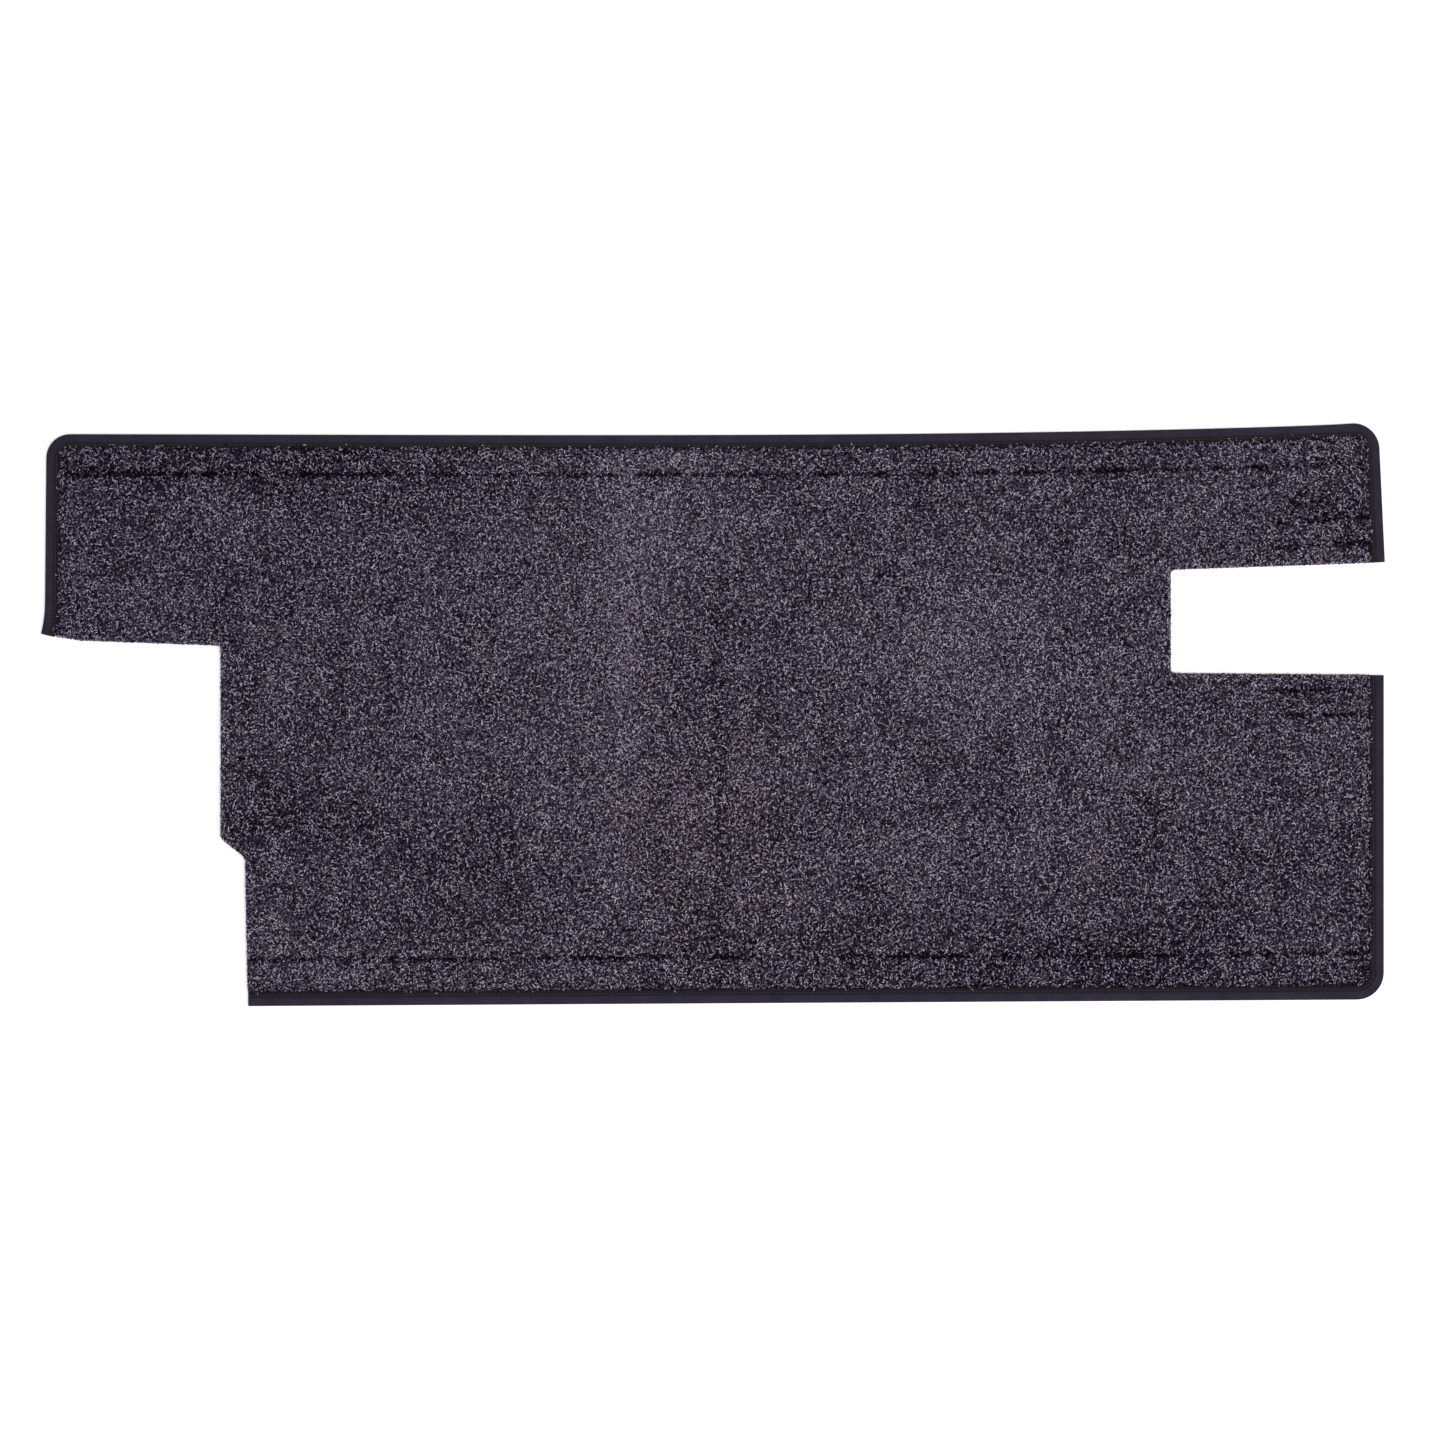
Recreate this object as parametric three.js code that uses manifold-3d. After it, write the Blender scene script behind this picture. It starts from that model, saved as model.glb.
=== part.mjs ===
// A tailgate mat: a die-cut pile carpet with two edge tapes and four hook strips sewn to its back.
// Millimetres. The pile faces +Z, the length runs along X and the back edge faces +Y.
import * as THREE from "three";
import { mergeVertices } from "three/addons/utils/BufferGeometryUtils.js";
import Module from "manifold-3d";

const wasm = await Module();
wasm.setup();

// Overall outline
const MAT_LENGTH = 1115.4;
const MAT_WIDTH = 483.8;
const BACK_LEFT_RADIUS = 20;
const BACK_RIGHT_RADIUS = 22;
const FRONT_RIGHT_RADIUS = 22.5;

// How far the sewn edges stray from a true rectangle
const BACK_EDGE_FALL = 9;
const BACK_EDGE_BOW = 5.6;
const FRONT_EDGE_RISE = 5.4;
const LEFT_EDGE_LEAN = 1.3;
const WING_TIP_FLARE = 3.1;
const WING_TIP_FLARE_LENGTH = 26;
const UPPER_ARM_LEAN = 4.4;
const LOWER_ARM_INSET = 0.9;

// Wing that stands out past the left cut
const WING_LENGTH = 149.7;
const WING_TIP_WIDTH = 165.8;
const WING_TIP_CUT_LENGTH = 34;
const WING_TIP_CUT_FALL = 5.3;
const WING_CUT_FALL = 9.6;

// Slanted step in the left cut, measured from the front edge
const STEP_FROM_FRONT = 139.6;
const STEP_LENGTH = 16.2;
const STEP_WIDTH = 20.2;
const FRONT_CUT_LEAN = 2.4;
const CUT_CORNER_RADIUS = 2.5;

// Notch in the right end, measured from the front edge
const NOTCH_FROM_FRONT = 276.2;
const NOTCH_DEPTH = 178.3;
const NOTCH_FLOOR_WIDTH = 86.2;
const NOTCH_UPPER_FLARE = 6.2;
const NOTCH_LOWER_FLARE = 1.4;
const NOTCH_CORNER_RADIUS = 4.2;

// Carpet section
const CARPET_THICKNESS = 6.5;
const SEWN_THICKNESS = 3.2;
const PILE_RISE_LENGTH = 5;
const PILE_RISE_START = 0.5;
const CUT_EDGE_ROUNDING = 1.6;

// Edge tape section
const TAPE_THICKNESS = 0.9;
const TAPE_TOP_LAP = 11.6;
const TAPE_UNDER_LAP = 10.2;
const TAPE_NOSE = 1.8;
const TAPE_SEAM_INSET = 8.8;
const TAPE_SEAM_HALF_WIDTH = 1.4;
const TAPE_SEAM_DEPTH = 0.45;
const TAPE_LIP_ROUNDING = 0.35;
const TAPE_CROWN = 0.25;

// Hook strips and the rows of stitches that hold them
const HOOK_STRIP_THICKNESS = 1.6;
const HOOK_GROUND_THICKNESS = 0.6;
const HOOK_SELVEDGE = 2.6;
const BACK_STRIP_WIDTH = 25;
const FRONT_STRIP_WIDTH = 30;
const ARM_STRIP_WIDTH = 25;
const ARM_STRIP_LENGTH = 79;
const STITCH_MARGIN = 2.1;
const STITCH_GROOVE_WIDTH = 4.4;
const STITCH_GROOVE_DEPTH = 2.6;
const UPPER_ARM_ROW_FROM_NOTCH = 17.6;
const LOWER_ARM_ROW_FROM_NOTCH = 11.5;
const UPPER_ARM_STRIP_ANGLE = THREE.MathUtils.degToRad(4);
const LOWER_ARM_STRIP_ANGLE = THREE.MathUtils.degToRad(1);

// Clearances
const EDGE_GAP = 0.3;
const STRIP_GAP = 0.3;
const CUTTER_REACH = 4;
const TRIM_REACH = 20;

// How finely curved stretches are divided
const CORNER_LEGS = 10;
const SMALL_CORNER_LEGS = 4;
const BACK_EDGE_LEGS = 44;
const FLARE_LEGS = 6;
const NOSE_LEGS = 10;

// Levels, counted up from the underside of the hook strips
const BACKING_Z = HOOK_STRIP_THICKNESS;
const SEWN_Z = BACKING_Z + SEWN_THICKNESS;
const PILE_Z = BACKING_Z + CARPET_THICKNESS;

const point = (x, y) => new THREE.Vector2(x, y);

// A corner is never tighter than the tape and the pile beside it can turn.
const soundRadius = (radius) => Math.max(radius, TAPE_TOP_LAP + PILE_RISE_LENGTH + 1);
const backLeftRadius = soundRadius(BACK_LEFT_RADIUS);
const backRightRadius = soundRadius(BACK_RIGHT_RADIUS);
const frontRightRadius = soundRadius(FRONT_RIGHT_RADIUS);

const leftX = -MAT_LENGTH / 2;
const rightX = MAT_LENGTH / 2;
const frontY = -MAT_WIDTH / 2;
const backY = MAT_WIDTH / 2;

const backLeftX = leftX + LEFT_EDGE_LEAN + WING_TIP_FLARE;
const backLeftY = backY - BACK_EDGE_FALL;
const backRightX = rightX - UPPER_ARM_LEAN;
const frontRightX = rightX - LOWER_ARM_INSET;
const frontRightY = frontY + FRONT_EDGE_RISE;
const wingTipY = backLeftY - WING_TIP_WIDTH;
const cutX = leftX + WING_LENGTH;
const stepX = cutX + STEP_WIDTH;
const stepTopY = frontY + STEP_FROM_FRONT;
const notchFloorX = rightX - NOTCH_DEPTH;
const notchLowerY = frontY + NOTCH_FROM_FRONT;
const notchUpperY = notchLowerY + NOTCH_FLOOR_WIDTH;

const frontLeft = point(stepX + FRONT_CUT_LEAN, frontY);
const lowerMouth = point(frontRightX, notchLowerY - NOTCH_LOWER_FLARE);
const upperMouth = point(rightX, notchUpperY + NOTCH_UPPER_FLARE);
const wingTip = point(leftX, wingTipY);

// Height of the back edge at x, which hangs in a slack curve between its two corners.
function backEdgeY(x) {
  const start = backLeftX + backLeftRadius;
  const end = backRightX - backRightRadius;
  const share = THREE.MathUtils.clamp((x - start) / (end - start), 0, 1);
  const wave = Math.max(0, Math.sin(Math.PI * Math.pow(share, 1.5)));
  return THREE.MathUtils.lerp(backLeftY, backY, share) - BACK_EDGE_BOW * Math.pow(wave, 0.7);
}

// Height of the straight front edge at x.
function frontEdgeY(x) {
  const end = frontRightX - frontRightRadius;
  return THREE.MathUtils.mapLinear(x, frontLeft.x, end, frontY, frontRightY);
}

// Place of the right edge at y, above or below the notch.
function rightEdgeX(y) {
  if (y < notchLowerY) {
    return frontRightX;
  }
  return THREE.MathUtils.mapLinear(y, upperMouth.y, backY - backRightRadius, rightX, backRightX);
}

// Points of an arc about a centre, from one angle to another in quarter turns.
function arc(centreX, centreY, radius, from, to, legs) {
  return Array.from({ length: legs + 1 }, (_, i) => {
    const angle = (Math.PI / 2) * THREE.MathUtils.lerp(from, to, i / legs);
    return point(centreX + radius * Math.cos(angle), centreY + radius * Math.sin(angle));
  });
}

// The corner at b on the way from a to c, rounded by a quadratic curve.
function roundedCorner(a, b, c, radius) {
  const start = b.clone().add(a.clone().sub(b).setLength(radius));
  const end = b.clone().add(c.clone().sub(b).setLength(radius));
  return new THREE.QuadraticBezierCurve(start, b, end).getPoints(SMALL_CORNER_LEGS);
}

// Front tape's edge, from the left cut along the front and up to the notch.
const lowerEdge = [
  frontLeft,
  ...arc(
    frontRightX - frontRightRadius,
    frontRightY + frontRightRadius,
    frontRightRadius,
    -1,
    0,
    CORNER_LEGS,
  ),
  lowerMouth,
];

// The wing's left edge, which flares out over its last stretch before the tip.
function leftEdgeX(y) {
  const top = backLeftY - backLeftRadius;
  const lean = LEFT_EDGE_LEAN * THREE.MathUtils.mapLinear(y, top, wingTipY, 0, 1);
  const share = Math.max(0, 1 - (y - wingTipY) / WING_TIP_FLARE_LENGTH);
  return backLeftX - lean - WING_TIP_FLARE * share * share;
}

// Back tape's edge, from the notch up the right arm, along the back and down the wing.
const backEdge = Array.from({ length: BACK_EDGE_LEGS - 1 }, (_, i) => {
  const x = THREE.MathUtils.lerp(
    backRightX - backRightRadius,
    backLeftX + backLeftRadius,
    (i + 1) / BACK_EDGE_LEGS,
  );
  return point(x, backEdgeY(x));
});
const wingEdge = Array.from({ length: FLARE_LEGS + 1 }, (_, i) => {
  const y = wingTipY + WING_TIP_FLARE_LENGTH * (1 - i / FLARE_LEGS);
  return point(leftEdgeX(y), y);
});
const upperEdge = [
  upperMouth,
  ...arc(backRightX - backRightRadius, backY - backRightRadius, backRightRadius, 0, 1, CORNER_LEGS),
  ...backEdge,
  ...arc(backLeftX + backLeftRadius, backLeftY - backLeftRadius, backLeftRadius, 1, 2, CORNER_LEGS),
  ...wingEdge,
];

// Raw cut edges, each from one tape's end to the other's
const notchFloorLower = point(notchFloorX, notchLowerY);
const notchFloorUpper = point(notchFloorX, notchUpperY);
const notchCut = [
  lowerMouth,
  ...roundedCorner(lowerMouth, notchFloorLower, notchFloorUpper, NOTCH_CORNER_RADIUS),
  ...roundedCorner(notchFloorLower, notchFloorUpper, upperMouth, NOTCH_CORNER_RADIUS),
  upperMouth,
];
const wingShoulder = point(leftX + WING_TIP_CUT_LENGTH, wingTipY - WING_TIP_CUT_FALL);
const wingRoot = point(cutX, wingTipY - WING_CUT_FALL);
const stepTop = point(cutX, stepTopY);
const stepFoot = point(stepX, stepTopY - STEP_LENGTH);
const leftCut = [
  wingTip,
  wingShoulder,
  ...roundedCorner(wingShoulder, wingRoot, stepTop, CUT_CORNER_RADIUS),
  ...roundedCorner(wingRoot, stepTop, stepFoot, CUT_CORNER_RADIUS),
  ...roundedCorner(stepTop, stepFoot, frontLeft, CUT_CORNER_RADIUS),
  frontLeft,
];

// Unit normals to the left of each leg of a line of points.
function legNormals(points) {
  return points.slice(1).map((end, i) => {
    const leg = end.clone().sub(points[i]).normalize();
    return point(-leg.y, leg.x);
  });
}

// Vectors that shift each point 1 mm to the left of the line, mitred at its bends.
// Each end is square to its leg, or lies along the cut that crosses it there.
function shifts(points, firstCut, lastCut) {
  const normals = legNormals(points);
  const last = points.length - 1;
  const alongCut = (normal, cut) => (cut ? cut.clone().divideScalar(cut.dot(normal)) : normal);
  return points.map((_, i) => {
    if (i === 0) {
      return alongCut(normals[0], firstCut);
    }
    if (i === last) {
      return alongCut(normals[last - 1], lastCut);
    }
    const sum = normals[i - 1].clone().add(normals[i]);
    return sum.divideScalar(1 + normals[i - 1].dot(normals[i]));
  });
}

// A closed solid that carries a section along a line of points.
// The section's points hold the distance to the left of the line and the height.
function sweep(points, shift, section) {
  const outline = THREE.ShapeUtils.isClockWise(section) ? [...section].reverse() : section;
  const positions = points.flatMap((p, i) =>
    outline.flatMap((s) => [p.x + shift[i].x * s.x, p.y + shift[i].y * s.x, s.y]),
  );
  const count = outline.length;
  const indices = [];
  for (let ring = 0; ring < points.length - 1; ring += 1) {
    for (let i = 0; i < count; i += 1) {
      const a = ring * count + i;
      const b = ring * count + ((i + 1) % count);
      indices.push(a, b, a + count);
      indices.push(b, b + count, a + count);
    }
  }
  const end = (points.length - 1) * count;
  for (const [a, b, c] of THREE.ShapeUtils.triangulateShape(outline, [])) {
    indices.push(a, c, b);
    indices.push(end + a, end + b, end + c);
  }
  const geometry = new THREE.BufferGeometry();
  geometry.setAttribute("position", new THREE.Float32BufferAttribute(positions, 3));
  geometry.setIndex(indices);
  return geometry;
}

// A line of points with both ends drawn out, so that a cutter passes right through.
function drawnOut(points) {
  const first = points[0].clone().sub(points[1]).setLength(CUTTER_REACH);
  const last = points.at(-1).clone().sub(points.at(-2)).setLength(CUTTER_REACH);
  return [points[0].clone().add(first), ...points, points.at(-1).clone().add(last)];
}

function solidOf(geometry) {
  const bare = new THREE.BufferGeometry();
  bare.setAttribute("position", geometry.getAttribute("position"));
  bare.setIndex(geometry.index);
  const merged = mergeVertices(bare, 1e-4);
  return new wasm.Manifold(
    new wasm.Mesh({
      numProp: 3,
      vertProperties: merged.getAttribute("position").array,
      triVerts: new Uint32Array(merged.index.array),
    }),
  );
}

function geometryOf(solid) {
  const mesh = solid.getMesh();
  const geometry = new THREE.BufferGeometry();
  geometry.setAttribute("position", new THREE.BufferAttribute(mesh.vertProperties, 3));
  geometry.setIndex(new THREE.BufferAttribute(mesh.triVerts, 1));
  return geometry;
}

function piece(name, geometry, material) {
  geometry.computeVertexNormals();
  const mesh = new THREE.Mesh(geometry, material);
  mesh.name = name;
  return mesh;
}

// Directions of the four cuts that cross a tape's end, each pointing into the mat
const into = (from, to) => to.clone().sub(from).normalize();
const lowerShifts = shifts(
  lowerEdge,
  into(frontLeft, stepFoot),
  into(lowerMouth, notchFloorLower),
);
const upperShifts = shifts(
  upperEdge,
  into(upperMouth, notchFloorUpper),
  into(wingTip, wingShoulder),
);

// Edge tape: a U-shaped section round the carpet's edge, pressed in along its seam.
function tapeSection() {
  const middle = (BACKING_Z + SEWN_Z) / 2;
  const halfHeight = SEWN_THICKNESS / 2 + TAPE_THICKNESS;
  const topZ = SEWN_Z + TAPE_THICKNESS;
  const nose = Array.from({ length: NOSE_LEGS + 1 }, (_, i) => {
    const angle = Math.PI * (i / NOSE_LEGS - 0.5);
    return point(TAPE_NOSE * (1 - Math.cos(angle)), middle + halfHeight * Math.sin(angle));
  });
  return [
    point(TAPE_UNDER_LAP, BACKING_Z),
    point(TAPE_UNDER_LAP, BACKING_Z - TAPE_THICKNESS),
    ...nose,
    point((TAPE_NOSE + TAPE_SEAM_INSET) / 2, topZ + TAPE_CROWN),
    point(TAPE_SEAM_INSET - TAPE_SEAM_HALF_WIDTH, topZ),
    point(TAPE_SEAM_INSET, topZ - TAPE_SEAM_DEPTH),
    point(TAPE_SEAM_INSET + TAPE_SEAM_HALF_WIDTH, topZ),
    point(TAPE_TOP_LAP - TAPE_LIP_ROUNDING, topZ),
    point(TAPE_TOP_LAP, topZ - TAPE_LIP_ROUNDING),
    point(TAPE_TOP_LAP, SEWN_Z),
    point(TAPE_THICKNESS, SEWN_Z),
    point(TAPE_THICKNESS, BACKING_Z),
  ];
}

// What the tape presses away: the pile above the sewn level, which rises again beside the tape.
function tapeRebateSection() {
  const start = TAPE_TOP_LAP + EDGE_GAP;
  const fullRise = CARPET_THICKNESS - SEWN_THICKNESS - PILE_RISE_START;
  const rise = [0, 0.25, 0.55, 1].map((share) =>
    point(
      start + PILE_RISE_LENGTH * share,
      SEWN_Z + PILE_RISE_START + fullRise * Math.sin((Math.PI / 2) * share),
    ),
  );
  return [
    point(-CUTTER_REACH, SEWN_Z),
    point(start, SEWN_Z),
    ...rise,
    point(start + PILE_RISE_LENGTH, PILE_Z + CUTTER_REACH),
    point(-CUTTER_REACH, PILE_Z + CUTTER_REACH),
  ];
}

// What falls away where the pile leans out over a raw cut edge.
function cutRoundingSection() {
  return [
    point(-CUTTER_REACH, PILE_Z - CUT_EDGE_ROUNDING),
    point(0, PILE_Z - CUT_EDGE_ROUNDING),
    point(CUT_EDGE_ROUNDING * 0.3, PILE_Z - CUT_EDGE_ROUNDING * 0.3),
    point(CUT_EDGE_ROUNDING, PILE_Z),
    point(CUT_EDGE_ROUNDING, PILE_Z + CUTTER_REACH),
    point(-CUTTER_REACH, PILE_Z + CUTTER_REACH),
  ];
}

// A row of stitches draws the pile down into a narrow valley.
function grooveSection() {
  const half = STITCH_GROOVE_WIDTH / 2;
  return [
    point(-half, PILE_Z + CUTTER_REACH),
    point(-half, PILE_Z),
    point(-half * 0.4, PILE_Z - STITCH_GROOVE_DEPTH * 0.75),
    point(0, PILE_Z - STITCH_GROOVE_DEPTH),
    point(half * 0.4, PILE_Z - STITCH_GROOVE_DEPTH * 0.75),
    point(half, PILE_Z),
    point(half, PILE_Z + CUTTER_REACH),
  ];
}

// Hook strips lie between the tapes' under laps, so each row's place follows from the widths.
const stripInset = TAPE_UNDER_LAP + STRIP_GAP;
const backRowInset = stripInset + BACK_STRIP_WIDTH - STITCH_MARGIN;
const frontRowInset = stripInset + FRONT_STRIP_WIDTH - STITCH_MARGIN;
const armRowSpacing = ARM_STRIP_WIDTH - 2 * STITCH_MARGIN;

// A line at a set distance inside the back edge, between two places along it.
function lineInsideBackEdge(inset, fromX, toX) {
  return Array.from({ length: BACK_EDGE_LEGS + 1 }, (_, i) => {
    const x = THREE.MathUtils.lerp(fromX, toX, i / BACK_EDGE_LEGS);
    return point(x, backEdgeY(x) - inset);
  });
}

// A straight line at a set distance inside the front edge, between two places along it.
function lineInsideFrontEdge(inset, fromX, toX) {
  return [point(fromX, frontEdgeY(fromX) + inset), point(toX, frontEdgeY(toX) + inset)];
}

const topLapInset = TAPE_TOP_LAP + EDGE_GAP;
const backRow = lineInsideBackEdge(
  backRowInset,
  backLeftX + topLapInset,
  rightEdgeX(backY - backRowInset) - topLapInset,
);
const frontRow = lineInsideFrontEdge(frontRowInset, stepX, frontRightX - topLapInset);
const backStripLine = lineInsideBackEdge(stripInset, backLeftX, rightEdgeX(backY - stripInset));
const frontStripLine = lineInsideFrontEdge(stripInset, frontLeft.x + STITCH_MARGIN, frontRightX);

// The middle line of a short strip across an arm, which runs on under the tape at its right end.
function armStripLine(mouth, rowFromNotch, towards, angle) {
  const y = mouth.y + towards * (rowFromNotch + armRowSpacing / 2);
  const axis = point(Math.cos(angle), Math.sin(angle));
  const end = point(rightEdgeX(y), y);
  return [end.clone().addScaledVector(axis, -ARM_STRIP_LENGTH - stripInset), end];
}

// The two rows of stitches of a short strip.
function armRows(line) {
  const side = legNormals(line)[0].multiplyScalar(armRowSpacing / 2);
  return [1, -1].map((way) => line.map((p) => p.clone().addScaledVector(side, way)));
}

const upperArmLine = armStripLine(
  upperMouth,
  UPPER_ARM_ROW_FROM_NOTCH,
  1,
  UPPER_ARM_STRIP_ANGLE,
);
const lowerArmLine = armStripLine(
  lowerMouth,
  LOWER_ARM_ROW_FROM_NOTCH,
  -1,
  LOWER_ARM_STRIP_ANGLE,
);
const stitchRows = [backRow, frontRow, ...armRows(upperArmLine), ...armRows(lowerArmLine)];

// Hook strip section: a woven ground with a field of hooks between two bare selvedges.
function hookSection(fromLine, width) {
  const groundZ = HOOK_STRIP_THICKNESS - HOOK_GROUND_THICKNESS;
  const far = fromLine + width;
  return [
    point(fromLine, HOOK_STRIP_THICKNESS),
    point(fromLine, groundZ),
    point(fromLine + HOOK_SELVEDGE, groundZ),
    point(fromLine + HOOK_SELVEDGE, 0),
    point(far - HOOK_SELVEDGE, 0),
    point(far - HOOK_SELVEDGE, groundZ),
    point(far, groundZ),
    point(far, HOOK_STRIP_THICKNESS),
  ];
}

// Room that the tapes' under laps take up, which the strips' ends are trimmed to
function underLapZone(edge) {
  const drawn = drawnOut(edge);
  const section = [
    point(-TRIM_REACH, -CUTTER_REACH),
    point(stripInset, -CUTTER_REACH),
    point(stripInset, PILE_Z),
    point(-TRIM_REACH, PILE_Z),
  ];
  return solidOf(sweep(drawn, shifts(drawn), section));
}

function hookStrip(line, fromLine, width) {
  const drawn = [...line.slice(0, -1), drawnOut(line).at(-1)];
  const strip = solidOf(sweep(drawn, shifts(drawn), hookSection(fromLine, width)));
  return geometryOf(strip.subtract(underLapZone(upperEdge)).subtract(underLapZone(lowerEdge)));
}

// The carpet's own outline: inside the tapes where they hold it, and out to its raw cuts elsewhere.
function carpetOutline() {
  const edgeInset = TAPE_THICKNESS + EDGE_GAP;
  const inside = (points, shift) =>
    points.map((p, i) => p.clone().addScaledVector(shift[i], edgeInset));
  return [
    ...inside(lowerEdge, lowerShifts),
    ...notchCut.slice(1, -1),
    ...inside(upperEdge, upperShifts),
    ...leftCut.slice(1, -1),
  ];
}

function carpetSolid() {
  const slab = new THREE.ExtrudeGeometry(new THREE.Shape(carpetOutline()), {
    depth: CARPET_THICKNESS,
    bevelEnabled: false,
  });
  slab.translate(0, 0, BACKING_Z);
  const drawnLower = drawnOut(lowerEdge);
  const drawnUpper = drawnOut(upperEdge);
  const cutters = [
    sweep(drawnLower, shifts(drawnLower), tapeRebateSection()),
    sweep(drawnUpper, shifts(drawnUpper), tapeRebateSection()),
    sweep(notchCut, shifts(notchCut), cutRoundingSection()),
    sweep(leftCut, shifts(leftCut), cutRoundingSection()),
    ...stitchRows.map((row) => {
      const drawn = drawnOut(row);
      return sweep(drawn, shifts(drawn), grooveSection());
    }),
  ];
  return cutters.reduce((solid, cutter) => solid.subtract(solidOf(cutter)), solidOf(slab));
}

const pile = new THREE.MeshStandardMaterial({ color: 0x453f4a, roughness: 1, metalness: 0 });
const tape = new THREE.MeshStandardMaterial({ color: 0x2f2b38, roughness: 0.85, metalness: 0 });
const hooks = new THREE.MeshStandardMaterial({ color: 0x1d1b20, roughness: 0.7, metalness: 0 });

const mat = new THREE.Group();
mat.add(piece("carpet", geometryOf(carpetSolid()), pile));
mat.add(piece("upper_binding", sweep(upperEdge, upperShifts, tapeSection()), tape.clone()));
mat.add(piece("lower_binding", sweep(lowerEdge, lowerShifts, tapeSection()), tape.clone()));
mat.add(
  piece("back_hook_strip", hookStrip(backStripLine, -BACK_STRIP_WIDTH, BACK_STRIP_WIDTH), hooks),
);
mat.add(piece("front_hook_strip", hookStrip(frontStripLine, 0, FRONT_STRIP_WIDTH), hooks.clone()));
mat.add(
  piece(
    "upper_arm_hook_strip",
    hookStrip(upperArmLine, -ARM_STRIP_WIDTH / 2, ARM_STRIP_WIDTH),
    hooks.clone(),
  ),
);
mat.add(
  piece(
    "lower_arm_hook_strip",
    hookStrip(lowerArmLine, -ARM_STRIP_WIDTH / 2, ARM_STRIP_WIDTH),
    hooks.clone(),
  ),
);

export default mat;
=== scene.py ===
"""Tailgate mat: a curly melange carpet with a wing and a notch, taped round its long edges."""

import math
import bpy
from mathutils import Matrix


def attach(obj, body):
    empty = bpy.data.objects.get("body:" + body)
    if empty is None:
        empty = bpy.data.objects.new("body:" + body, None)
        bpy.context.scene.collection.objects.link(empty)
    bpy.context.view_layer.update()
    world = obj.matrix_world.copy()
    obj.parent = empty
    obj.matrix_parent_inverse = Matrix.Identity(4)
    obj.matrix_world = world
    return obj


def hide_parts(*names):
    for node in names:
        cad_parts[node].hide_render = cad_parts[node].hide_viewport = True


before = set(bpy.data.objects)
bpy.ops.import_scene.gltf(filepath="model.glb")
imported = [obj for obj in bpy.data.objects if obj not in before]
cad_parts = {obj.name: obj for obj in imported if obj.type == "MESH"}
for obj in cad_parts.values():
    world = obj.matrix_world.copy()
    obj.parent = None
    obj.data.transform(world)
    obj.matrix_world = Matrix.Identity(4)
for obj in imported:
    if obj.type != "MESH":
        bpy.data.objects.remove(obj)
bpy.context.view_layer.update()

from types import SimpleNamespace

import bpy
import numpy as np
from mathutils import Vector
from mathutils.geometry import delaunay_2d_cdt

bl_info = {
    "name": "Tailgate Mat",
    "version": (1, 0, 0),
    "blender": (4, 5, 0),
    "location": "3D View > Sidebar > Tailgate Mat",
    "description": "Builds a bound tailgate mat with curly pile, hook strips and their seams",
    "category": "Add Mesh",
}

MM = 0.001
UP = (0.0, 0.0, 1.0)


def linear(hex_colour):
    """Turns an sRGB hex colour into linear red, green and blue."""
    channels = (int(hex_colour[i : i + 2], 16) / 255 for i in (1, 3, 5))
    return tuple(c / 12.92 if c <= 0.04045 else ((c + 0.055) / 1.055) ** 2.4 for c in channels)


def length(name, millimetres, description):
    """A property that holds a length."""
    return bpy.props.FloatProperty(
        name=name, description=description, default=millimetres * MM, min=0, precision=5, unit="LENGTH"
    )


def amount(name, default, description, low=0, high=1):
    """A property that holds a plain number."""
    return bpy.props.FloatProperty(
        name=name, description=description, default=default, min=low, max=high
    )


def colour(name, hex_colour, description):
    """A property that holds a colour."""
    return bpy.props.FloatVectorProperty(
        name=name,
        description=description,
        default=linear(hex_colour),
        min=0,
        max=1,
        size=3,
        subtype="COLOR",
    )


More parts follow.
